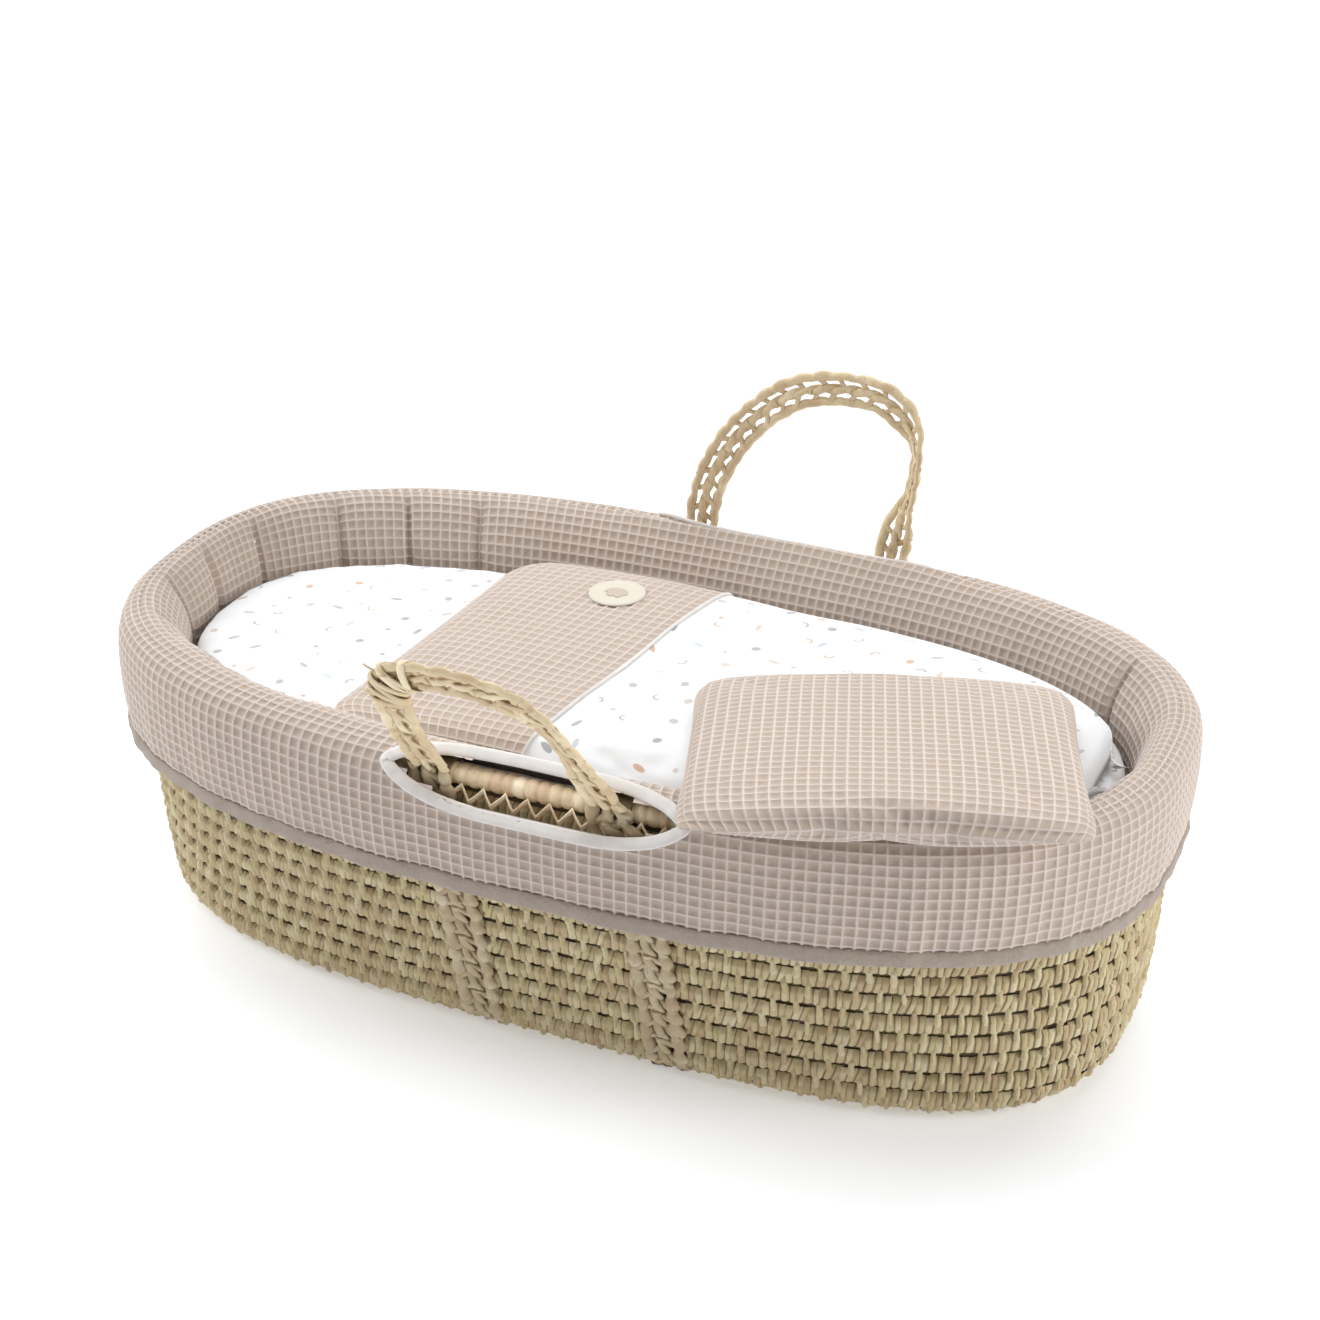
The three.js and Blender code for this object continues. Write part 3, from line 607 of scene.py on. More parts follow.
lid = oval_surface([(0.001, 0.001, 0.0098, 3.2), (0.366, 0.162, 0.0098, 3.2)], base_turns)
base_points = np.concatenate([under[::-1], lid[::-1]])
base_uv = (np.linspace(0, 240, 421), np.linspace(0, BASE_RINGS, len(base_points) + 1))
base_mesh = lattice("basket_floor", base_points, palm_look, uv=base_uv, wrap=(True, True), flip=True)
fitted("basket_floor", base_mesh, "basket", "palm_plait", "basket_base")

# ---- Rim roll ----
# A core of leaf stems wrapped side by side with flat leaves, seen inside the slots.
RIM = (0.3945, 0.2005, 0.2374)
RIM_RADIUS = 8 * MM
WRAPS = 230
rim_turns = even_turns(WRAPS * 5)
tube = angles_round(12)
wrap_step = np.tile([0.0, 0.8, 1.0, 1.0, 0.8], WRAPS)
wrap_width = np.repeat(np.random.default_rng(5).uniform(0.6, 1.15, WRAPS), 5)
rim_radius = RIM_RADIUS - 1.2 * MM + 1.2 * MM * wrap_step * wrap_width
rim_points = []
for angle in tube:
    x, y = oval(RIM[0] + rim_radius * math.cos(angle), RIM[1] + rim_radius * math.cos(angle),
                OVAL_FULLNESS, rim_turns)
    rim_points.append(np.stack([x, y, RIM[2] + rim_radius * math.sin(angle)], -1))
rim_uv = (np.arange(WRAPS * 5 + 1) / 5.0, np.arange(14) / 3.0)
rim_mesh = lattice("rim_wrap", np.array(rim_points), painted_light_wrap_look, uv=rim_uv, wrap=(True, True))


def paint_shade(mesh, name, values_per_vertex):
    layer = mesh.attributes.new(name, "FLOAT", "POINT")
    layer.data.foreach_set("value", np.asarray(values_per_vertex, np.float32))


wrap_shades = np.repeat(np.random.default_rng(6).random(WRAPS), 5)
paint_shade(rim_mesh, "leaf_shade", np.tile(wrap_shades, len(tube)))
fitted("rim_wrap", rim_mesh, "basket", "palm_wrap", "rim_roll")

# Below the roll, leaf loops zigzag between it and the top of the wall.
LOOPS = 124
loop_turns = even_turns(LOOPS * 6)
zigzag = np.abs(((np.arange(LOOPS * 6) / 6.0) % 1) * 2 - 1)
loop_rng = np.random.default_rng(15)
loop_out = 9.6 * MM + 6.0 * MM * zigzag
loop_x, loop_y = oval(RIM[0] + loop_out, RIM[1] + loop_out, OVAL_FULLNESS, loop_turns)
loop_line = np.stack([loop_x, loop_y,
                      RIM[2] - 3 * MM - 9 * MM * zigzag + loop_rng.normal(0, 0.4 * MM, LOOPS * 6)], -1)
loop_width = 5.2 * MM * (0.8 + 0.3 * np.abs(1 - 2 * zigzag))
loop_rings = []
for angle in angles_round(6):
    lift = np.stack([np.zeros(LOOPS * 6), np.zeros(LOOPS * 6), loop_width / 2 * math.cos(angle)], -1)
    bend = unit(np.stack([loop_x, loop_y, np.zeros(LOOPS * 6)], -1))
    loop_rings.append(loop_line + lift + bend * 0.9 * MM * math.sin(angle))
loop_mesh = lattice("rim_loops", np.array(loop_rings), painted_light_wrap_look,
                    uv=(np.arange(LOOPS * 6 + 1) / 3.0, np.arange(7) / 6.0),
                    wrap=(True, True))
paint_shade(loop_mesh, "leaf_shade", np.tile(np.repeat(loop_rng.random(LOOPS), 6), 6))
fitted("rim_loops", loop_mesh, "basket", "palm_wrap", "rim_roll")

# ---- Braids: handles, and the braces under the basket ----
# Strands of doubled palm leaf plaited flat. Each strand swings from edge to edge of the
# braid and goes over and under the others in turn.


def frames_along(points, level):
    """Along, across and through directions of a flat strap, with its width kept near 'level'."""
    along = unit(np.gradient(points, axis=0))
    through = unit(np.cross(along, level))
    across = np.cross(through, along)
    return along, across, through


def strand_section(centres, side, lift, width, height, seed, sides=8):
    """A leaf strand: an oval tube whose width and creases wander along it, closed at its ends."""
    rng = np.random.default_rng(seed)
    count = len(centres)
    knots = max(4, count // 7)
    wander = np.interp(np.arange(count), np.linspace(0, count, knots), 1 + rng.normal(0, 0.10, knots))
    angle = np.linspace(0, 2 * np.pi, sides, endpoint=False)
    crease = 1 - 0.16 * (np.arange(sides) % 2)
    rings = []
    for a, c in zip(angle, crease):
        w = (width * wander * math.cos(a) * c / 2)[:, None]
        h = (height * (2 - wander) * math.sin(a) * c / 2)[:, None]
        rings.append(centres + side * w + lift * h)
    ring = np.array(rings)
    start = np.repeat(centres[None, :1], sides, 0)
    end = np.repeat(centres[None, -1:], sides, 0)
    return np.concatenate([start, ring, end], 1)


def joined(name, meshes):
    """One mesh made of several, with their points, faces, shades and maps."""
    work = bmesh.new()
    for mesh in meshes:
        work.from_mesh(mesh)
    bmesh.ops.remove_doubles(work, verts=work.verts, dist=0.004 * MM)
    result = bpy.data.meshes.new(name)
    work.to_mesh(result)
    work.free()
    for material in meshes[0].materials:
        result.materials.append(material)
    return result


def eased(points, across, through, run, at, offsets, lifts):
    """Centres at distances 'at' along the strap, moved across it and through it."""
    place, side, out = (sampled(values, run, at) for values in (points, across, through))
    side, out = unit(side), unit(out)
    return place + side * offsets[:, None] + out * lifts[:, None], out


def strand_mesh(name, centres, out, width, height, material, seed, sides=8):
    along = unit(np.gradient(centres, axis=0))
    side = unit(np.cross(out, along))
    section = strand_section(centres, side, np.cross(along, side), width, height, seed, sides)
    run = np.concatenate([[0, 0], np.cumsum(np.linalg.norm(np.diff(centres, axis=0), axis=1)), [0, 0]])
    run[-2:] = run[-3]
    uv = (run / (10 * MM), np.arange(section.shape[0] + 1) / sides)
    mesh = lattice(name, section, material, uv=uv, wrap=(True, False), flip=True)
    rng = np.random.default_rng(seed)
    knots = max(2, int(run[-1] / (14 * MM)) + 2)
    patches = np.interp(np.arange(section.shape[1]), np.linspace(0, section.shape[1], knots),
                        rng.random(knots))
    paint_shade(mesh, "leaf_shade", np.tile(patches, section.shape[0]))
    return mesh


def open_braid(name, points, across, through, width, rope, pitch, material, seed, knots, relief=None):
    """A flat strap of two knotted edge ropes and a middle one, laced together by slanting leaves."""
    run = run_along(points)
    rng = np.random.default_rng(seed)
    reach = (width - rope[0]) / 2
    count = len(points)
    relief = np.ones(count) if relief is None else relief
    meshes = []
    for side in (-1, 1):
        phase = 2 * np.pi * run / pitch + side
        offset = side * (reach + 0.5 * MM * np.sin(phase))
        centres, out = eased(points, across, through, run, run, offset, 0.5 * MM * relief * np.cos(phase))
        swell = 1 + knots * (np.abs(np.sin(np.pi * run / pitch + side)) - 0.55) * np.minimum(relief * 2, 1)
        meshes.append(strand_mesh(f"{name}_edge", centres, out, rope[0] * swell, rope[1] * swell, material,
                                  seed + side))
    for k in range(2):
        phase = np.pi * run / pitch + np.pi * k
        centres, out = eased(points, across, through, run, run, 0.22 * rope[0] * np.sin(phase),
                             0.36 * rope[1] * relief * np.cos(phase))
        meshes.append(strand_mesh(f"{name}_middle", centres, out, np.full(count, rope[0] * 0.8),
                                  rope[1] * 0.5, material, seed + 5 + k))
    links = int(run[-1] / pitch)
    for i in range(links):
        for side in (-1, 1):
            start = (i + 0.15 + 0.5 * (side > 0) + rng.normal(0, 0.04)) * pitch
            t = np.linspace(0, 1, 11)
            at = np.clip(start + t * pitch * 0.86, 0, run[-1])
            cross = smooth(t, 0.12, 0.88)
            offset = side * (reach - 0.04 * rope[0]) * (1 - cross) - side * 0.1 * rope[0] * cross
            over = (0.5 * rope[1]) * (1 if (i + (side > 0)) % 2 else -1)
            lift = 0.62 * over * np.cos(np.pi * t) * np.interp(at, run, relief)
            centres, out = eased(points, across, through, run, at, offset, lift)
            slim = 1 - 0.25 * np.sin(np.pi * t)
            meshes.append(strand_mesh(f"{name}_lace", centres, out, rope[0] * 0.92 * slim, rope[1] * 0.55,
                                      material, seed + 31 * i + side, 6))
    return joined(name, meshes)


HINGE_Y = 0.2155
HINGE_Z = 0.250
STRAP_WIDTH = 28 * MM
strap_look = palm_finish("palm_strap", 0.75, (1.3, 9, 1), 1.33)


def handle_path(side, lean, bail, count):
    """Points of a handle's middle line, from its left foot to its right one, and its face normal."""
    angle = math.radians(lean)
    up = np.array([0, -side * math.sin(angle), math.cos(angle)])
    face = np.cross([1, 0, 0], up)
    foot = np.array([0, side * HINGE_Y, HINGE_Z])
    line = path_through(bail, count) * MM
    return foot + line[:, :1] * np.array([1, 0, 0]) + line[:, 1:2] * up, face


def handle_directions(points, face, twist):
    along = unit(np.gradient(points, axis=0))
    flat = np.cross(face, along)
    u = np.linspace(0, 1, len(points))
    foot = np.clip(np.minimum(u, 1 - u) / 0.06, 0, 1)[:, None]
    foot = foot * foot * (3 - 2 * foot)
    level = np.array([1.0, 0, 0]) * np.sign(flat[:, :1])
    across = unit(level * (1 - foot) + flat * foot)
    through = np.cross(along, across)
    turn = twist(u)[:, None]
    return across * np.cos(turn) + through * np.sin(turn), through * np.cos(turn) - across * np.sin(turn)


def smooth(x, low, high):
    t = np.clip((x - low) / (high - low), 0, 1)
    return t * t * (3 - 2 * t)


NEAR_BAIL = [(-63, -4), (-67, 14), (-70, 42), (-70, 70), (-66, 92), (-53, 107), (-30, 113),
             (-2, 112), (24, 103), (44, 82), (56, 50), (62, 22), (69, -4)]
FAR_BAIL = [(-41, -4), (-39, 16), (-32, 42), (-14, 77), (12, 107), (41, 127), (74, 135),
            (107, 133), (128, 118), (138, 94), (136, 61), (127, 28), (121, -4)]
FAR_ROPE = (7.2 * MM, 5.2 * MM)
NEAR_ROPE = (8.6 * MM, 5.6 * MM)
HANDLE_PITCH = 16.5 * MM
HANDLE_KNOTS = 0.22

points, face = handle_path(-1, -28, NEAR_BAIL, 190)
across, through = handle_directions(points, face,
                                    lambda u: 0.35 * smooth(u, 0.62, 0.75) * (1 - smooth(u, 0.8, 0.95)))
near_mesh = open_braid("near_handle", points, across, through, STRAP_WIDTH * 1.05, NEAR_ROPE, HANDLE_PITCH,
                       strap_look, 70, HANDLE_KNOTS)
fitted("near_handle", near_mesh, "near_handle", "palm_braid", "near_handle_strap")
near_points, near_across, near_through = points, across, through

points, face = handle_path(1, 0, FAR_BAIL, 200)
across, through = handle_directions(points, face,
                                    lambda u: 1.1 * smooth(u, 0.64, 0.76) * (1 - smooth(u, 0.84, 0.96)))
far_mesh = open_braid("far_handle", points, across, through, STRAP_WIDTH, FAR_ROPE, HANDLE_PITCH,
                      strap_look, 90, HANDLE_KNOTS)
fitted("far_handle", far_mesh, "far_handle", "palm_braid", "far_handle_strap")

# The near braid is joined at its upper corner: its ends are turned over, bound round with
# leaf and left sticking out a little.
splice_rng = np.random.default_rng(8)
parts = []
SPLICE_TURNS, SPLICE_START, SPLICE_STEP, TUFTS = 7, 50, 4.2, 9
for k in range(SPLICE_TURNS):
    at = SPLICE_START + SPLICE_STEP * k + splice_rng.normal(0, 0.5)
    i = int(at)
    centre = near_points[i]
    angle = angles_round(16)
    wide, thick = 15.2 * MM + splice_rng.normal(0, 0.4 * MM), 5.4 * MM + splice_rng.normal(0, 0.3 * MM)
    lean = splice_rng.normal(0, 0.22)
    forward = unit(np.gradient(near_points, axis=0)[i])
    squarish = [blunt(math.cos(a), 0.7) for a in angle]
    loop = np.array([centre + near_across[i] * wide * q + near_through[i] * thick * math.sin(a)
                     + forward * lean * wide * q for a, q in zip(angle, squarish)])
    outer = unit(loop - centre)
    band = []
    for b in angles_round(6):
        band.append(loop + forward * 3.4 * MM * math.cos(b) + outer * 1.1 * MM * math.sin(b))
    mesh = lattice(f"splice_{k}", np.array(band), strap_look, uv=(np.arange(17) * 0.3, np.arange(7) / 6),
                   wrap=(True, True))
    paint_shade(mesh, "leaf_shade", np.full(len(mesh.vertices), splice_rng.random()))
    parts.append(mesh)
for k in range(TUFTS):
    i = SPLICE_START + 2 + int(splice_rng.integers(0, 22))
    start = near_points[i] + near_across[i] * splice_rng.uniform(-0.6, 0.9) * 14 * MM
    to_side = splice_rng.choice([-1, 1], p=[0.75, 0.25])
    heading = near_through[i] * splice_rng.normal(0, 0.7) - near_across[i] * to_side
    heading = unit(heading + np.array([-0.5, 0, 0.2]) + splice_rng.normal(0, 0.3, 3))
    length = splice_rng.uniform(9, 19) * MM
    curl = unit(np.cross(heading, splice_rng.normal(0, 1, 3)))
    s = np.linspace(0, 1, 9)[:, None]
    centres = start + heading * length * s + curl * length * 0.35 * s ** 2
    side = np.repeat(np.cross(heading, curl)[None], 9, 0)
    section = strand_section(centres, side, np.repeat(curl[None], 9, 0), np.linspace(5.5, 2.2, 9) * MM,
                             1.1 * MM, 200 + k, 6)
    mesh = lattice(f"tuft_{k}", section, strap_look, uv=(np.arange(12) * 0.2, np.arange(7) / 6),
                   wrap=(True, False), flip=True)
    paint_shade(mesh, "leaf_shade", np.full(len(mesh.vertices), splice_rng.random()))
    parts.append(mesh)
fitted("near_handle_binding", joined("near_handle_binding", parts), "near_handle", "palm_braid",
       "near_handle_splice")

# Each brace runs from one rim down the wall, under the floor and up to the other rim.


def wall_half_width(x, z):
    order = np.argsort([row[2] for row in WALL_ROWS])
    table = np.array(WALL_ROWS)[order]
    a, b, fullness = (np.interp(z, table[:, 2], table[:, i]) for i in (0, 1, 3))
    return b * (1 - abs(x / a) ** fullness) ** (1 / fullness)


BRACE_HALF = 17.5 * MM


def tucked(mesh, near_x, far_x):
    """The brace with its stray leaf ends pushed in where it turns under the floor."""
    places = np.empty(len(mesh.vertices) * 3, np.float32)
    mesh.vertices.foreach_get("co", places)
    x, y, z = places.reshape(-1, 3).T
    edge = (z < 16 * MM) & (np.abs(y) > 0.14)
    middle = np.where(y < 0, near_x, far_x) * MM
    limit = np.array([wall_half_width(px, max(pz, 0.0)) for px, pz in zip(x[edge], z[edge])]) + 5.0 * MM
    x[edge] = np.clip(x[edge], (middle - BRACE_HALF)[edge], (middle + BRACE_HALF)[edge])
    y[edge] = np.sign(y[edge]) * np.minimum(np.abs(y[edge]), limit)
    mesh.vertices.foreach_set("co", np.stack([x, y, z], 1).ravel())
    return resting(mesh)


BRACES = {"brace_left": (-54, -42, -65, -41), "brace_right": (93, 118, 70, 121)}
for name, (near_x, far_x, near_foot, far_foot) in BRACES.items():
    def leg(x, foot_x, side):
        heights = [200, 160, 110, 60, 24, 14]
        rows = [(foot_x, 213.3, 246.5), (foot_x, 213.3, 232), ((x + foot_x) / 2, 212.8, 220)]
        rows += [(x, wall_half_width(x * MM, z * MM) / MM + 3.4, z) for z in heights]
        rows += [(x, 164.2, 7.0), (x, 158.0, 3.0), (x, 149, 2.2), (x, 136, 2.1)]
        return [(px, side * py, pz) for px, py, pz in rows]
    route = leg(far_x, far_foot, 1) + leg(near_x, near_foot, -1)[::-1]
    line = path_through(route, 330) * MM
    _, brace_across, brace_through = frames_along(line, np.array([1.0, 0, 0]))
    relief = 0.02 + 0.98 * smooth(line[:, 2], 9 * MM, 24 * MM)
    mesh = open_braid(name + "_braid", line, brace_across, brace_through, 33 * MM, (9.5 * MM, 6.4 * MM),
                      15 * MM, warm_palm_look, 120 + int(near_x), 0.6, relief)
    fitted(name + "_braid", tucked(mesh, near_x, far_x), "basket", "palm_braid", name)


def refinish(name, look):
    """A new material on a CAD solid that stays."""
    materials = frame["nodes"][name].data.materials
    materials.clear()
    materials.append(look)


# Leaf lashings hold the braid feet to the rim: their solids are right, so they stay, and take the darkened
# palm of painted shade.
for name in ("lashing_near_left", "lashing_near_right", "lashing_far_left", "lashing_far_right"):
    refinish(name, painted_shade_leaf_look)

# ---- Waffle cotton cover ----
# One cover of beige waffle cotton goes from the hem, up over the padded rim and down the
# inside to the mattress. Its weave is a grid of raised ridges round square pits.
PER_CELL = 5
waffle = Finish("waffle_cotton", 0.92, Sheen_Weight=0.22, Sheen_Roughness=0.5, Specular_IOR_Level=0.2)
cells = waffle.place("cells")
split = waffle.node("ShaderNodeSeparateXYZ", {"Vector": cells})
cell_x = split.node.outputs["X"]
cell_y = split.node.outputs["Y"]
near_x = waffle.math("PINGPONG", cell_x, 0.5)
near_y = waffle.math("PINGPONG", cell_y, 0.5)
pit_x = waffle.spread(near_x, 0.045, 0.15)
pit_y = waffle.spread(near_y, 0.045, 0.15)
pit = waffle.times(pit_x, pit_y)
thread_x = waffle.math("PINGPONG", waffle.times(cell_x, 9.0), 0.5)
thread_y = waffle.math("PINGPONG", waffle.times(cell_y, 9.0), 0.5)
threads = waffle.math("MAXIMUM", thread_x, thread_y)
lint = waffle.noise(cells, 7.0, 4, 0.7)
blotch = waffle.noise(waffle.place(), 9.0, 2)
# The pits are painted darker than the ridges: painted shade in the hollows of the weave. The thread lines
# in them and the lint on the ridges are the cloth's own.
pit_painted_shade_colour = waffle.mix(threads, (0.465, 0.373, 0.305), (0.565, 0.465, 0.392))
ridge_colour = waffle.mix(lint, (0.62, 0.528, 0.468), (0.715, 0.625, 0.572))
weave_with_painted_pit_shade = waffle.mix(pit, ridge_colour, pit_painted_shade_colour)
weave_with_painted_pit_shade = waffle.mix(waffle.spread(blotch, 0.35, 0.7, 0, 0.10), weave_with_painted_pit_shade, (0.54, 0.457, 0.395))
fine_bump = waffle.bump(waffle.plus(waffle.times(threads, 0.7), lint), 0.4, 0.35 * MM)
waffle_look = waffle.done(weave_with_painted_pit_shade, waffle.bump(waffle.math("SUBTRACT", 1.0, pit), 0.5, 0.9 * MM, fine_bump))

PERIMETER_CELLS = 244
cover_turns = even_turns(PERIMETER_CELLS * PER_CELL, 0.4116, 0.2265)
SKIRT_PATH = [
    (0.4082, 0.2258, 0.1655), (0.4108, 0.2272, 0.184), (0.4120, 0.2275, 0.207), (0.4120, 0.2264, 0.230),
    (0.4105, 0.2232, 0.2437), (0.4062, 0.2155, 0.2522), (0.3985, 0.2048, 0.2556),
]
BUMPER_PATH = [
    (0.3985, 0.2048, 0.2556), (0.3920, 0.1965, 0.2560), (0.3850, 0.1872, 0.2527), (0.3782, 0.1755, 0.2430),
    (0.3722, 0.1640, 0.2270), (0.3692, 0.1588, 0.2110), (0.3688, 0.1580, 0.1960), (0.3688, 0.1580, 0.1540),
]


def waffle_height(u, v, depth=1.6 * MM):
    """Height of the weave at a place given in cells: 0 on a ridge, down to -depth in a pit."""
    def pit_along(x):
        off = np.abs(x - np.round(x))
        return smooth(off, 0.03, 0.3)
    return -depth * (pit_along(u) * pit_along(v)) ** 0.8


def soft_wave(turns, amounts, seed):
    """A smooth closed wave round the basket, of a few low frequencies."""
    rng = np.random.default_rng(seed)
    return sum(a * np.sin(k * turns + rng.uniform(0, 6.28)) for k, a in amounts.items())


def pucker(run, places, width):
    """Narrow valleys at the given distances (in cells) along the cover."""
    total = PERIMETER_CELLS
    off = np.abs((run[:, None] - np.asarray(places)[None, :] + total / 2) % total - total / 2)
    return np.exp(-(off / width) ** 2)


run_cells = np.arange(PERIMETER_CELLS * PER_CELL) / PER_CELL
cell_uv = np.arange(PERIMETER_CELLS * PER_CELL + 1) / PER_CELL


def cover_rows(path, cells_high):
    return path_through(path, int(cells_high * PER_CELL) + 1)


def shell_from(face_points, depth, keep_rows=14):
    """A closed shell: the given face, then a plain back that lies a depth behind it."""
    normals = lattice_normals(face_points, (False, True))
    back_index = np.linspace(len(face_points) - 1, 0, keep_rows).astype(int)
    back = face_points[back_index] - normals[back_index] * depth
    return np.concatenate([face_points, back]), len(back)


SLOT_TILT = math.atan2(27, 30)
SLOT_MIDDLE = (0.213, 0.2415)
SLOTS = {"near": (-1, 0.016, 0.110, 1.0), "far": (1, 0.042, 0.118, 0.7)}
SLOT_HALF_WIDTH = 20 * MM
SLOT_POWER = 3.6


def slot_plane(points, side, x):
    """Place of points in a slot's own plane: along it, across it and out of it."""
    dy = points[..., 1] * side - SLOT_MIDDLE[0]
    dz = points[..., 2] - SLOT_MIDDLE[1]
    across_slot = dy * math.cos(SLOT_TILT) - dz * math.sin(SLOT_TILT)
    out = dy * math.sin(SLOT_TILT) + dz * math.cos(SLOT_TILT)
    return points[..., 0] - x, across_slot, out


def in_slot(points):
    inside = np.zeros(points.shape[:-1], bool)
    for side, x, half_length, inner in SLOTS.values():
        along_slot, across_slot, out = slot_plane(points, side, x)
        reach = np.clip(1 - np.abs(along_slot / half_length) ** SLOT_POWER, 0, 1) ** 0.75
        half_width = np.where(across_slot < 0, inner, 1) * SLOT_HALF_WIDTH
        inside |= (np.abs(across_slot) < half_width * reach) & (out > -14 * MM)
    return inside


def lip_sag(points):
    """The far slot's inner edge sinks behind the roll, pulled down by the handle."""
    side, x, half_length, _ = SLOTS["far"]
    near_slot = 1 - smooth(np.abs(points[..., 0] - x), half_length, half_length + 0.04)
    near_slot = near_slot * (points[..., 1] * side > 0) * (points[..., 2] > 0.235)
    width = points[..., 1] * side
    lift = (3.0 * MM * np.exp(-((width - 0.191) / 0.007) ** 2)
            - 4.8 * MM * np.exp(-((width - 0.206) / 0.008) ** 2))
    moved = points.copy()
    moved[..., 2] += lift * near_slot
    return moved


def outside_slots(points):
    """Which faces of a closed shell are kept: those with a corner outside the slots."""
    hole = in_slot(points)
    below = np.roll(hole, -1, 0)
    return ~(hole & below & np.roll(hole, -1, 1) & np.roll(below, -1, 1))


skirt_rows = cover_rows(SKIRT_PATH, 13)
skirt_face = oval_surface(skirt_rows, cover_turns)
skirt_normals = lattice_normals(skirt_face, (False, True))
rise = np.linspace(0, 1, len(skirt_rows))[:, None]
sway = soft_wave(cover_turns, {3: 0.5 * MM, 7: 0.5 * MM, 13: 0.45 * MM, 22: 0.35 * MM}, 3)[None, :]
gathers = soft_wave(cover_turns, {31: 0.4 * MM, 47: 0.5 * MM, 64: 0.35 * MM}, 9)[None, :]
skirt_off = sway * np.sin(np.pi * np.clip(rise, 0, 1)) + gathers * (1 - rise) ** 2
skirt_cells = np.arange(len(skirt_rows))[:, None] / PER_CELL
skirt_off = skirt_off + waffle_height(run_cells[None, :], skirt_cells)
skirt_face = skirt_face + skirt_normals * skirt_off[..., None]
skirt_points, back_rows = shell_from(skirt_face, 2.6 * MM)
skirt_v = np.concatenate([np.arange(len(skirt_rows)) / PER_CELL, np.zeros(back_rows + 1)])
skirt_mesh = lattice("skirt", lip_sag(skirt_points), waffle_look, uv=(cell_uv, skirt_v), wrap=(True, True),
                     keep=outside_slots(skirt_points))
skirt = fitted("liner_skirt_cover", without_loose(skirt_mesh), "basket", "waffle_cotton", "liner_skirt")

# The inner half is puffed by wadding, and drawn into tucks where it turns round the head.
TUCKS = [88, 95.5, 103, 112.5, 121, 128.5, 137, 149, 153.5]
FOOT_TUCKS = [16.6, 227.4]
BUMPER_CELLS, SEEN_CELLS = 16, 11
bumper_rows = cover_rows(BUMPER_PATH, BUMPER_CELLS)
bumper_face = oval_surface(bumper_rows, cover_turns)
bumper_normals = lattice_normals(bumper_face, (False, True))
fall = np.minimum(np.linspace(0, BUMPER_CELLS / SEEN_CELLS, len(bumper_rows)), 1)[:, None]
head_tucks = pucker(run_cells, TUCKS + FOOT_TUCKS, 0.42).sum(1)[None, :]
wide_tucks = pucker(run_cells, TUCKS + FOOT_TUCKS, 1.7).sum(1)[None, :]
tuck_depth = (4.6 * MM * head_tucks + 2.4 * MM * wide_tucks) * smooth(fall, 0.10, 0.45)
puff = soft_wave(cover_turns, {4: 0.8 * MM, 9: 0.9 * MM, 15: 0.7 * MM, 26: 0.6 * MM}, 21)[None, :]
puff = puff * np.sin(np.pi * fall)
bumper_cells = np.arange(len(bumper_rows))[:, None] / PER_CELL
bumper_weave = waffle_height(run_cells[None, :], bumper_cells)
bumper_off = puff - tuck_depth + 1.2 * MM * np.sin(np.pi * fall) + bumper_weave
bumper_face = bumper_face + bumper_normals * bumper_off[..., None]
bumper_points, back_rows = shell_from(bumper_face, 2.2 * MM, 21)
bumper_v = np.concatenate([np.arange(len(bumper_rows)) / PER_CELL, np.zeros(back_rows + 1)])
bumper_mesh = lattice("bumper", lip_sag(bumper_points), waffle_look, uv=(cell_uv, bumper_v),
                      wrap=(True, True), keep=outside_slots(bumper_points))
bumper = fitted("bumper_cover_inside", without_loose(bumper_mesh), "basket", "waffle_cotton",
                "bumper_cover")

# Wadding fills the inner half behind its cover.
wadding = Finish("wadding", 0.98, Sheen_Weight=0.3)
fluff = wadding.noise(wadding.place(), 140.0, 5, 0.7)
wadding_look = wadding.done(wadding.mix(fluff, (0.80, 0.79, 0.77), (0.93, 0.93, 0.92)),
                            wadding.bump(fluff, 0.7, 1 * MM))
PAD_PATH = [
    (0.3785, 0.1690, 0.151), (0.3785, 0.1690, 0.200), (0.3800, 0.1735, 0.216), (0.3826, 0.1820, 0.231),
    (0.3833, 0.1860, 0.2390), (0.3834, 0.1874, 0.2390), (0.3835, 0.1878, 0.229), (0.3858, 0.1925, 0.220),
    (0.3858, 0.1925, 0.151),
]
pad_points = oval_surface(path_through(PAD_PATH, 40), even_turns(260))
pad_points = pad_points + lattice_normals(pad_points, (True, True)) * (
    0.5 * MM * np.sin(np.arange(260) * 0.9)[None, :, None] * np.sin(np.arange(40) * 0.7)[:, None, None])
pad = fitted("bumper_wadding", lattice("bumper_wadding", pad_points, wadding_look, wrap=(True, True),
                                       flip=True), "basket", "wadding", "bumper_pad")

# ---- Hem ----
# A brushed cotton binding folded over the skirt's lower edge, with elastic in the fold.
brushed = Finish("brushed_binding", 0.95, Sheen_Weight=0.45, Sheen_Roughness=0.4, Specular_IOR_Level=0.15)
nap = brushed.noise(brushed.place(), 330.0, 5, 0.85)
soft_patches = brushed.noise(brushed.place(), 60.0, 3)
brushed_colour = brushed.mix(nap, (0.37, 0.295, 0.235), (0.63, 0.525, 0.44))
brushed_look = brushed.done(brushed.mix(brushed.spread(soft_patches, 0.4, 0.65, 0, 0.3), brushed_colour,
                                        (0.56, 0.465, 0.39)),
                            brushed.bump(nap, 1.0, 2.2 * MM))
HEM_LINE = (0.4078, 0.2258, 0.1652)
HEM_HALF = (2.5 * MM, 6.2 * MM)
hem_turns = even_turns(720, 0.4116, 0.2265)
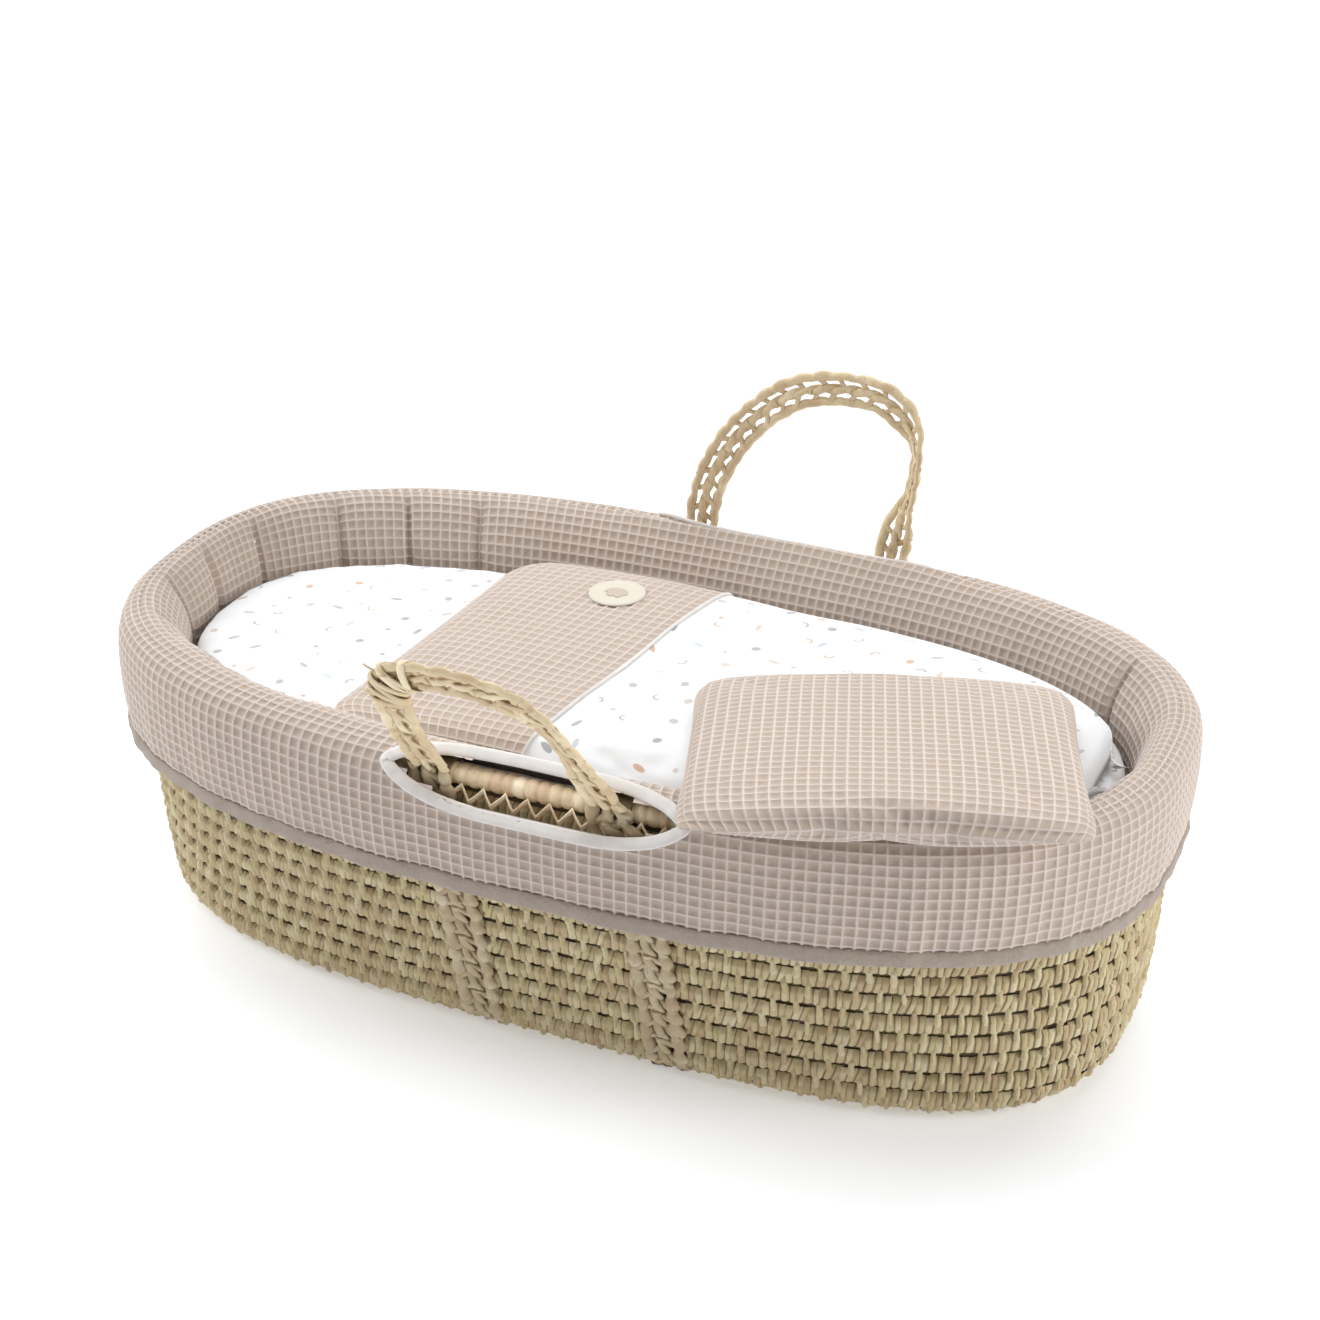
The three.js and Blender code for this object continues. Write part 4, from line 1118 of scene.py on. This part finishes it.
hem_wave = soft_wave(hem_turns, {31: 0.3 * MM, 47: 0.45 * MM, 90: 0.3 * MM}, 9)
hem_drop = soft_wave(hem_turns, {5: 0.5 * MM, 19: 0.4 * MM, 43: 0.35 * MM}, 31)
hem_rng = np.random.default_rng(41)
hem_points = []
for angle in angles_round(16):
    out = HEM_HALF[0] * blunt(math.cos(angle), 0.8)
    up = HEM_HALF[1] * blunt(math.sin(angle), 0.75)
    nubs = hem_rng.normal(0, 0.22 * MM, hem_turns.size)
    grow = out + hem_wave + nubs
    x, y = oval(HEM_LINE[0] + grow, HEM_LINE[1] + grow, OVAL_FULLNESS, hem_turns)
    hem_points.append(np.stack([x, y, HEM_LINE[2] + up + hem_drop + nubs], -1))
fitted("hem_binding_roll", lattice("hem_binding_roll", np.array(hem_points), brushed_look,
                                   wrap=(True, True)), "basket", "hem_trim", "hem_binding", "hem_elastic")

# ---- Slot bindings ----
# White cotton tape folded over the edge of each slot and stitched down.
tape = Finish("white_tape", 0.85, Sheen_Weight=0.25, Specular_IOR_Level=0.25)
tape_weave = tape.noise(tape.place(), 1500.0, 2)
tape_folds = tape.noise(tape.place(), 120.0, 3)
tape_look = tape.done(tape.mix(tape_folds, (0.70, 0.665, 0.64), (0.81, 0.775, 0.75)),
                      tape.bump(tape.plus(tape_weave, tape_folds), 0.35, 0.4 * MM))
TAPE_POINTS, TAPE_SMOOTHINGS = 260, 6
TAPE_HALF = (4.7 * MM, 2.0 * MM)
lip_path = path_through(SKIRT_PATH[1:] + BUMPER_PATH[1:5], 160)
for name, (side, middle_x, half_length, inner) in SLOTS.items():
    rng = np.random.default_rng(14)
    angle = np.arange(TAPE_POINTS) / TAPE_POINTS * 2 * np.pi
    inset_along = half_length + 1.2 * MM
    inset_across = SLOT_HALF_WIDTH + 1.2 * MM
    x = inset_along * np.cos(angle)
    w = inset_across * np.sign(np.sin(angle)) * (1 - np.abs(np.cos(angle)) ** SLOT_POWER) ** 0.75
    w = np.where(w < 0, inner, 1) * w
    loop = []
    for px, pw in zip(x, w):
        shrink = (1 - np.abs((px + middle_x) / lip_path[:, 0]) ** OVAL_FULLNESS) ** (1 / OVAL_FULLNESS)
        line = np.stack([np.full(len(lip_path), px + middle_x), side * lip_path[:, 1] * shrink,
                         lip_path[:, 2]], -1)
        _, lip_across, _ = slot_plane(line, side, middle_x)
        i = int(np.clip(np.argmin(np.abs(lip_across - pw)), 1, len(line) - 2))
        loop.append(line[i])
    loop = lip_sag(np.array(loop))
    for _ in range(TAPE_SMOOTHINGS):
        loop = (np.roll(loop, 1, 0) + 2 * loop + np.roll(loop, -1, 0)) / 4
    along_loop = unit(np.roll(loop, -1, 0) - np.roll(loop, 1, 0))
    normal = np.broadcast_to([0, side * math.sin(SLOT_TILT), math.cos(SLOT_TILT)], loop.shape)
    normal = unit(normal - along_loop * (normal * along_loop).sum(1, keepdims=True))
    flat_out = np.cross(along_loop, normal)
    ripple = 1 + 0.10 * np.sin(angle * 23 + rng.uniform(0, 6)) + 0.06 * np.sin(angle * 41)
    section = []
    for a in angles_round(14):
        wide = TAPE_HALF[0] * blunt(math.cos(a), 0.7)
        thick = TAPE_HALF[1] * blunt(math.sin(a), 0.8)
        section.append(loop + flat_out * wide * side + normal * (thick * ripple)[:, None])
    binding_mesh = lattice(f"slot_tape_{name}", np.array(section), tape_look, wrap=(True, True),
                           flip=side > 0)
    fitted(f"slot_tape_{name}", binding_mesh, "basket", "white_binding", f"slot_binding_{name}")

# ---- Hidden pieces under the mattress ----
# The liner's cotton floor, the foam blocks and the elastics keep their solids.
plain = Finish("plain_cotton", 0.9, Sheen_Weight=0.2)
plain_weave = plain.noise(plain.place(), 1200.0, 2)
plain_look = plain.done(plain.mix(plain_weave, (0.82, 0.82, 0.80), (0.93, 0.93, 0.92)),
                        plain.bump(plain_weave, 0.3, 0.3 * MM))
foam = Finish("open_cell_foam", 0.95)
foam_cells = foam.node("ShaderNodeTexVoronoi", {"Vector": foam.place(), "Scale": 420.0}, "Distance")
foam_look = foam.done(foam.mix(foam_cells, (0.70, 0.66, 0.54), (0.88, 0.85, 0.76)),
                      foam.bump(foam_cells, 0.7, 0.8 * MM))
for name, look in (("liner_floor", plain_look), ("support_pad", foam_look), ("mattress_core", foam_look),
                   ("sheet_elastic", plain_look)):
    refinish(name, look)

# ---- Mattress in its fitted sheet ----
# White cotton sheet drawn tight over foam. The print is small scattered arcs, drops and
# dashes in grey, tan and blue-grey.


def printed_cotton(name, spacing, first):
    cotton = Finish(name, 0.88, Sheen_Weight=0.18, Specular_IOR_Level=0.25)
    flat = cotton.stretch(cotton.place(), (1 / spacing, 1 / spacing, 0.001), (0, 0, first))
    voronoi = cotton.tree.nodes.new("ShaderNodeTexVoronoi")
    voronoi.voronoi_dimensions = "2D"
    voronoi.inputs["Scale"].default_value = 1.0
    voronoi.inputs["Randomness"].default_value = 0.72
    cotton.feed(voronoi.inputs["Vector"], flat)
    from_centre = cotton.node("ShaderNodeVectorMath", {0: flat, 1: voronoi.outputs["Position"]},
                              operation="SUBTRACT")
    pick = cotton.node("ShaderNodeSeparateColor", {"Color": voronoi.outputs["Color"]})
    pick_r, pick_g, pick_b = (pick.node.outputs[i] for i in range(3))
    turned = cotton.node("ShaderNodeVectorRotate",
                         {"Vector": from_centre, "Angle": cotton.times(pick_g, 6.283)},
                         rotation_type="Z_AXIS")
    local = cotton.node("ShaderNodeSeparateXYZ", {"Vector": turned})
    lx, ly = local.node.outputs[0], local.node.outputs[1]
    radius = cotton.math("SQRT", cotton.plus(cotton.times(lx, lx), cotton.times(ly, ly)))

    def within(value, limit, soft=0.012):
        return cotton.spread(value, limit - soft, limit + soft, 1, 0)

    band = cotton.math("ABSOLUTE", cotton.math("SUBTRACT", radius, 0.13))
    arc = cotton.times(within(band, 0.032), cotton.spread(ly, -0.01, 0.02))
    squashed = cotton.math("SQRT", cotton.plus(cotton.times(lx, lx),
                                               cotton.times(cotton.times(ly, ly), 7.0)))
    dash = within(squashed, 0.20)
    drop = within(cotton.plus(radius, cotton.times(lx, 0.5)), 0.10)
    dot = within(radius, 0.075)

    def chosen(low, high):
        return cotton.times(cotton.math("GREATER_THAN", pick_r, low),
                            cotton.math("LESS_THAN", pick_r, high))

    marks = cotton.times(arc, chosen(0.0, 0.27))
    for shape, low, high in ((dash, 0.27, 0.52), (drop, 0.52, 0.76), (dot, 0.76, 0.95)):
        marks = cotton.plus(marks, cotton.times(shape, chosen(low, high)))
    facing = cotton.node("ShaderNodeSeparateXYZ",
                         {"Vector": cotton.node("ShaderNodeTexCoord", output="Normal")}, output=2)
    marks = cotton.times(marks, cotton.spread(cotton.math("ABSOLUTE", facing), 0.3, 0.55))
    ink = cotton.ramp(pick_b, [
        (0.0, (0.40, 0.41, 0.43)), (0.25, (0.52, 0.56, 0.60)), (0.45, (0.62, 0.42, 0.30)),
        (0.62, (0.66, 0.57, 0.50)), (0.8, (0.46, 0.46, 0.47)), (0.95, (0.58, 0.64, 0.66))])
    ink.node.color_ramp.interpolation = "CONSTANT"
    cloth = cotton.noise(cotton.place(), 1400.0, 2)
    white = cotton.mix(cloth, (0.81, 0.815, 0.82), (0.86, 0.865, 0.87))
    colour = cotton.mix(cotton.times(marks, 0.95), white, ink)
    return cotton.done(colour, cotton.bump(cloth, 0.25, 0.25 * MM))


sheet_look = printed_cotton("printed_sheet", 25 * MM, 0.3)
SHEET_PATH = [
    (0.300, 0.092, 0.1606), (0.345, 0.134, 0.1603), (0.3590, 0.1480, 0.1640), (0.3640, 0.1528, 0.1720),
    (0.3645, 0.1533, 0.190), (0.3640, 0.1528, 0.2030), (0.3600, 0.1488, 0.2105), (0.3520, 0.141, 0.2132),
    (0.330, 0.122, 0.2140), (0.25, 0.09, 0.2146), (0.12, 0.045, 0.2148), (0.001, 0.001, 0.2148),
]
sheet_turns = even_turns(360, 0.36, 0.15)
sheet_rows = path_through(SHEET_PATH, 84)
sheet_points = oval_surface(sheet_rows, sheet_turns)
edge_band = np.exp(-((sheet_rows[:, 0] - 0.355) / 0.02) ** 2)[:, None] * (sheet_rows[:, 2] > 0.2)[:, None]
wrinkle = soft_wave(sheet_turns, {17: 0.3 * MM, 29: 0.3 * MM, 44: 0.25 * MM, 71: 0.2 * MM}, 4)[None, :]
sheet_points[..., 2] += wrinkle * edge_band
closing = sheet_points[:1] * (0.02, 0.02, 1)
sheet_points = np.concatenate([closing, sheet_points])
sheet = fitted("mattress_sheet_cover",
               lattice("mattress_sheet_cover", sheet_points, sheet_look, wrap=(False, True)), "mattress",
               "printed_cotton", "mattress_sheet")

# ---- Soft panels blown up by a cloth simulation ----
# The quilt and the pillow are each two cloth panels sewn round the edge and filled.


def two_panels(name, top, bottom):
    """One closed mesh of two lattices of points that share their border."""
    rows, columns = top.shape[:2]
    border = np.zeros((rows, columns), bool)
    border[[0, -1], :] = True
    border[:, [0, -1]] = True
    top_index = np.arange(rows * columns).reshape(rows, columns)
    bottom_index = top_index.copy()
    bottom_index[~border] = rows * columns + np.arange((~border).sum())
    vertices = np.concatenate([top.reshape(-1, 3), bottom[~border]])
    def quads(index, turn):
        a, b, c, d = index[:-1, :-1], index[:-1, 1:], index[1:, 1:], index[1:, :-1]
        return np.stack([a, b, c, d] if turn else [a, d, c, b], -1).reshape(-1, 4)
    mesh = bpy.data.meshes.new(name)
    mesh.from_pydata(vertices.tolist(), [],
                     np.concatenate([quads(top_index, False), quads(bottom_index, True)]).tolist())
    return mesh, top_index, bottom_index


def filled(name, top, bottom, pressure, cap, frames=18):
    """The two panels after air pressure and the cloth's own stiffness have shaped them."""
    mesh, top_index, bottom_index = two_panels(name, top, bottom)
    rest = np.array([v.co for v in mesh.vertices])
    body = shown(name + "_air", mesh)
    cloth = body.modifiers.new("cloth", "CLOTH")
    stiffness = {"tension_stiffness": 30, "compression_stiffness": 30, "shear_stiffness": 12,
                 "bending_stiffness": 0.4}
    air = {"use_pressure": True, "uniform_pressure_force": pressure, "air_damping": 6}
    for setting, value in {"quality": 6, "mass": 0.25, **air, **stiffness}.items():
        setattr(cloth.settings, setting, value)
    cloth.settings.effector_weights.gravity = 0
    scene = bpy.context.scene
    for f in range(1, frames + 1):
        scene.frame_set(f)
    evaluated = body.evaluated_get(bpy.context.evaluated_depsgraph_get())
    now = np.array([v.co for v in evaluated.to_mesh().vertices])
    scene.frame_set(1)
    bpy.data.objects.remove(body)
    move = now - rest
    size = np.linalg.norm(move, axis=1, keepdims=True)
    now = rest + move * np.minimum(1, cap / np.maximum(size, 1e-9))
    return now[top_index], now[bottom_index]


def finer(grid, rows, columns):
    """The lattice drawn again with more rows and columns, smoothly."""
    def along_axis(values, count):
        source = np.linspace(0, 1, len(values))
        target = np.linspace(0, 1, count)
        slope = np.gradient(values, source, axis=0)
        i = np.clip(np.searchsorted(source, target, side="right") - 1, 0, len(source) - 2)
        step = source[1] - source[0]
        t = ((target - source[i]) / step)[:, None, None]
        h00, h10 = 2 * t ** 3 - 3 * t ** 2 + 1, t ** 3 - 2 * t ** 2 + t
        h01, h11 = -2 * t ** 3 + 3 * t ** 2, t ** 3 - t ** 2
        return h00 * values[i] + h10 * step * slope[i] + h01 * values[i + 1] + h11 * step * slope[i + 1]
    first = along_axis(grid, rows)
    return along_axis(first.swapaxes(0, 1), columns).swapaxes(0, 1)


# ---- Quilt ----
# A light padded quilt in the printed cotton, as wide as the mattress, with a band of
# waffle cotton across its head end.
quilt_look = printed_cotton("printed_quilt", 27 * MM, 1.1)
QUILT_HEAD = -0.180
QUILT_A, QUILT_B = 0.3555, 0.1495
QUILT_BOTTOM, QUILT_EDGE_Z = 0.2152, 0.2185
along_q, across_q = np.meshgrid(np.linspace(0, 1, 57), np.linspace(-1, 1, 33), indexing="ij")
head_x = QUILT_HEAD + 0.08 * QUILT_B * across_q
corner = 0.02 * np.clip(np.abs(across_q) - 0.85, 0, 1) / 0.15
quilt_x = head_x + corner + (QUILT_A * 0.99 - head_x) * along_q ** 0.94
half = QUILT_B * np.clip(1 - np.clip(quilt_x / QUILT_A, 0, 1) ** OVAL_FULLNESS, 0.004,
                         1) ** (1 / OVAL_FULLNESS)
quilt_y = half * across_q
loft = (np.clip(1 - across_q ** 6, 0, 1) * np.clip(1 - (2 * along_q - 1) ** 10, 0, 1)) ** 0.5
quilt_top = np.stack([quilt_x, quilt_y, QUILT_EDGE_Z + 13.5 * MM * loft], -1)
quilt_under = np.stack([quilt_x, quilt_y, QUILT_EDGE_Z - (QUILT_EDGE_Z - QUILT_BOTTOM) * loft], -1)
quilt_top, quilt_under = filled("quilt", quilt_top, quilt_under, 1.0, 5 * MM)
quilt_under[..., 2] = np.maximum(quilt_under[..., 2], QUILT_BOTTOM)


def evenly(grid, rows, columns):
    """The lattice drawn again with its rows and columns equally spaced over the surface."""
    def along_rows(values, count):
        out = []
        for line in values:
            run = run_along(line)
            out.append(sampled(line, run, np.linspace(0, run[-1], count)))
        return np.array(out)
    return along_rows(along_rows(grid, columns).swapaxes(0, 1), rows).swapaxes(0, 1)


def share_border(grid, other):
    """Give a lattice the border points of another."""
    grid[[0, -1], :] = other[[0, -1], :]
    grid[:, [0, -1]] = other[:, [0, -1]]


def inner_fill(name, top, under, shrink):
    """Wadding just inside two panels, so that it never shows through them."""
    middle = (top + under) / 2
    upper, lower = middle + (top - middle) * shrink, middle + (under - middle) * shrink
    core = np.s_[3:-3, 3:-3]
    upper, lower = upper[core], lower[core]
    share_border(lower, upper)
    mesh, _, _ = two_panels(name, upper, lower)
    mesh.materials.append(wadding_look)
    return mesh


fill_mesh = inner_fill("quilt_fill_soft", quilt_top, quilt_under, 0.7)
quilt_fill = fitted("quilt_fill_soft", fill_mesh, "quilt", "wadding", "quilt_wadding")

QUILT_ROWS, QUILT_COLUMNS = 171, 125
top_fine = evenly(finer(quilt_top, 240, 180), QUILT_ROWS, QUILT_COLUMNS)
under_fine = evenly(finer(quilt_under, 240, 180), QUILT_ROWS, QUILT_COLUMNS)
u_fine, v_fine = np.meshgrid(np.linspace(0, 1, QUILT_ROWS), np.linspace(-1, 1, QUILT_COLUMNS),
                             indexing="ij")
lumps = sum(a * np.sin(fx * u_fine * 6.28 + px) * np.cos(fy * v_fine * 3.14 + py) for a, fx, fy, px, py in
            ((0.9 * MM, 2.1, 1.3, 0.3, 1.0), (0.6 * MM, 4.2, 2.6, 2.0, 0.2),
             (0.35 * MM, 7.3, 4.1, 4.0, 2.2)))
inside_q = (np.clip(1 - v_fine ** 8, 0, 1) * np.clip(1 - (2 * u_fine - 1) ** 12, 0, 1))
top_fine[..., 2] += lumps * inside_q
under_fine[..., 2] = np.maximum(under_fine[..., 2], QUILT_BOTTOM)
share_border(under_fine, top_fine)
quilt_mesh, _, _ = two_panels("quilt_body", top_fine, under_fine)
for polygon in quilt_mesh.polygons:
    polygon.use_smooth = True
quilt_mesh.materials.append(quilt_look)
quilt = fitted("quilt_body", quilt_mesh, "quilt", "printed_cotton", "quilt_cover")

# The waffle band lies on the quilt's face and turns down at both sides. Its far edge is
# finished with white piping.
BAND_FOOT_X = -0.007
BAND_SLOPE = 0.155


def on_quilt(u, v):
    """Points on the quilt's top at lattice places u in 0..1 and v in -1..1."""
    fu, fv = u * (top_fine.shape[0] - 1), (v + 1) / 2 * (top_fine.shape[1] - 1)
    i = np.clip(fu.astype(int), 0, top_fine.shape[0] - 2)
    j = np.clip(fv.astype(int), 0, top_fine.shape[1] - 2)
    s, t = (fu - i)[..., None], (fv - j)[..., None]
    return ((1 - s) * (1 - t) * top_fine[i, j] + s * (1 - t) * top_fine[i + 1, j]
            + (1 - s) * t * top_fine[i, j + 1] + s * t * top_fine[i + 1, j + 1])


lattice_v = np.linspace(-1, 1, QUILT_COLUMNS)
band_edge = np.array([np.interp(BAND_FOOT_X + BAND_SLOPE * v_j * QUILT_B, top_fine[:, j, 0],
                                np.linspace(0, 1, QUILT_ROWS)) for j, v_j in enumerate(lattice_v)])
BAND_CELLS = (20, 37)
band_u, band_v = np.meshgrid(np.linspace(0, 1, BAND_CELLS[0] * PER_CELL + 1),
                             np.linspace(-1, 1, BAND_CELLS[1] * PER_CELL + 1), indexing="ij")
band_u_max = np.interp(band_v, lattice_v, band_edge)
band_points = on_quilt(band_u * band_u_max, band_v)
band_normals = lattice_normals(band_points, (False, False))
band_normals *= np.sign(band_normals[..., 2:3].mean())
band_cell_u = np.arange(band_points.shape[0]) / PER_CELL
band_cell_v = np.arange(band_points.shape[1]) / PER_CELL
band_high = 1.5 * MM + waffle_height(band_cell_u[:, None], band_cell_v[None, :], 1.1 * MM)
band_face = band_points + band_normals * band_high[..., None]
band_back = band_points + band_normals * 0.2 * MM
share_border(band_back, band_face)
band_mesh = joined("quilt_band_waffle", [
    lattice("band_face", band_face, waffle_look, wrap=(False, False), flip=True,
            uv=(np.append(band_cell_v, 0), np.append(band_cell_u, 0))),
    lattice("band_back", band_back, waffle_look, wrap=(False, False),
            uv=(np.append(band_cell_v, 0), np.append(band_cell_u, 0)))])
band = fitted("quilt_band_waffle", band_mesh, "quilt", "waffle_cotton", "quilt_band")

line_v = np.linspace(-0.995, 0.995, 150)
piping_line = on_quilt(np.interp(line_v, lattice_v, band_edge), line_v)
piping_line[:, 2] += 0.9 * MM
piping_line[:, 0] += 0.6 * MM
_, piping_side, piping_up = frames_along(piping_line, np.array([1.0, 0, 0]))
piping_tube = strand_section(piping_line, piping_side, piping_up, np.full(150, 3.4 * MM), 3.2 * MM, 3)
fitted("quilt_piping_cord", lattice("quilt_piping_cord", piping_tube, tape_look, wrap=(True, False),
                                    flip=True), "quilt", "white_binding", "quilt_piping")

# A round cream badge with a plain heart on it, appliqued near the far side of the band.
BADGE = (-0.061, 0.092)
BADGE_RADIUS = 22.5 * MM


def felt_finish(name, dark, light):
    felt = Finish(name, 0.95, Sheen_Weight=0.3)
    hairs = felt.noise(felt.place(), 700.0, 4, 0.75)
    return felt.done(felt.mix(hairs, dark, light), felt.bump(hairs, 0.5, 0.4 * MM))


def quilt_height(x, y):
    """Height of the quilt's top at a place, from its nearest lattice points."""
    flat = top_fine.reshape(-1, 3)
    result = []
    for px, py in zip(np.ravel(x), np.ravel(y)):
        distance = (flat[:, 0] - px) ** 2 + (flat[:, 1] - py) ** 2
        near = np.argpartition(distance, 6)[:6]
        weight = 1 / (distance[near] + 1e-8)
        result.append((flat[near, 2] * weight).sum() / weight.sum())
    return np.array(result).reshape(np.shape(x))


def patch(name, outline, thickness, base, material):
    """A soft-edged patch on the quilt: rings of an outline (angle -> radius) from its middle."""
    angle = angles_round(72)
    radius = outline(angle)
    scale = np.array([0.0, 0.35, 0.7, 0.9, 0.97, 1.0, 1.0])
    high = np.array([1, 1, 1, 1, 0.85, 0.45, -0.4])
    rings = []
    for s, h in zip(scale, high):
        x = BADGE[0] + radius * s * np.cos(angle)
        y = BADGE[1] + radius * s * np.sin(angle)
        rings.append(np.stack([x, y, quilt_height(x, y) + base + thickness * h], -1))
    return lattice(name, np.array(rings), material, wrap=(False, True), flip=True)


badge_mesh = patch("badge", lambda a: np.full(a.shape, BADGE_RADIUS), 1.1 * MM, 1.9 * MM,
                   felt_finish("badge_felt", (0.60, 0.545, 0.445), (0.72, 0.675, 0.58)))


def heart_outline(a):
    lobes = 0.42 * np.sin(a) * np.sqrt(np.abs(np.cos(a))) / (np.sin(a) + 1.6)
    return 9 * MM * (0.72 - lobes + 0.30 * np.abs(np.cos(a)) ** 0.8 * (np.sin(a) > -0.4))


heart_look = felt_finish("heart_felt", (0.47, 0.38, 0.31), (0.60, 0.50, 0.42))
heart_mesh = patch("heart", heart_outline, 0.6 * MM, 3.0 * MM, heart_look)
for name, mesh, slot_name, node in (("badge_patch", badge_mesh, "badge_felt", "quilt_badge"),
                                    ("badge_heart", heart_mesh, "motif_felt", "badge_motif")):
    fitted(name, mesh, "quilt", slot_name, node)

# ---- Pillow ----
# A flat baby pillow in waffle cotton: two panels sewn round the edge and lightly filled,
# so its sides draw in and its corners stick out.
PILLOW_CELLS = (34, 32)
PILLOW_HALF = (0.1365, 0.1275)
PILLOW_MIDDLE = np.array([0.232, -0.105, 0.2615])
turn, tilt = math.radians(20), math.radians(-6.9)
to_pillow = np.array([[math.cos(turn), -math.sin(turn) * math.cos(tilt), math.sin(turn) * math.sin(tilt)],
                      [math.sin(turn), math.cos(turn) * math.cos(tilt), -math.cos(turn) * math.sin(tilt)],
                      [0, math.sin(tilt), math.cos(tilt)]])
pu, pv = np.meshgrid(np.linspace(-1, 1, 47), np.linspace(-1, 1, 45), indexing="ij")
dome = (np.clip(1 - np.abs(pu) ** 5, 0, 1) * np.clip(1 - np.abs(pv) ** 5, 0, 1)) ** 0.5
corner_pull = 1 - 0.05 * np.abs(pu * pv) ** 9
flat_x = pu * PILLOW_HALF[0] * corner_pull * (1 - 0.006 * (1 - pv ** 2))
flat_x = flat_x + 0.02 * pv * PILLOW_HALF[1] - 6 * MM
flat_y = pv * PILLOW_HALF[1] * corner_pull * (1 - 0.012 * (1 - pu ** 2))
pillow_top = np.stack([flat_x, flat_y, 19 * MM * dome], -1)
pillow_under = np.stack([flat_x, flat_y, -9 * MM * dome], -1)
pillow_top, pillow_under = filled("pillow", pillow_top, pillow_under, 2.4, 9 * MM)
for panel, limit in ((pillow_top, 26.5 * MM), (pillow_under, -13.2 * MM)):
    high = panel[..., 2] / limit
    panel[..., 2] = np.where(high > 0, limit * np.tanh(high ** 3) ** (1 / 3), panel[..., 2])


def placed_pillow(grid):
    return grid @ to_pillow.T + PILLOW_MIDDLE


fill_mesh = inner_fill("pillow_fill_soft", placed_pillow(pillow_top), placed_pillow(pillow_under), 0.5)
pillow_fill = fitted("pillow_fill_soft", fill_mesh, "pillow", "wadding", "pillow_fill")
fine_rows, fine_columns = PILLOW_CELLS[0] * PER_CELL + 1, PILLOW_CELLS[1] * PER_CELL + 1
cell_u, cell_v = np.arange(fine_rows) / PER_CELL, np.arange(fine_columns) / PER_CELL
to_edge = np.minimum(np.minimum(cell_u, cell_u[-1] - cell_u)[:, None],
                     np.minimum(cell_v, cell_v[-1] - cell_v)[None, :])
pillow_meshes, shared_edge = [], None
for panel, sign in ((pillow_top, 1), (pillow_under, -1)):
    grid = evenly(finer(panel, 200, 190), fine_rows, fine_columns)
    if shared_edge is not None:
        share_border(grid, shared_edge)
    normals = lattice_normals(grid, (False, False))
    normals *= np.sign(normals[fine_rows // 2, fine_columns // 2, 2]) * sign
    weave = waffle_height(cell_u[:, None], cell_v[None, :]) * smooth(to_edge, 0.0, 0.8)
    seam_dip = -1.2 * MM * np.exp(-((to_edge - 0.9) / 0.35) ** 2) * (to_edge > 0)
    grid = grid + normals * (weave + seam_dip)[..., None]
    shared_edge = grid if shared_edge is None else shared_edge
    pillow_meshes.append(lattice("pillow_panel", placed_pillow(grid), waffle_look, wrap=(False, False),
                                 flip=sign > 0, uv=(np.append(cell_v, 0), np.append(cell_u, 0))))
pillow_mesh = joined("pillow_cover_soft", pillow_meshes)
pillow = fitted("pillow_cover_soft", pillow_mesh, "pillow", "waffle_cotton", "pillow_cover")
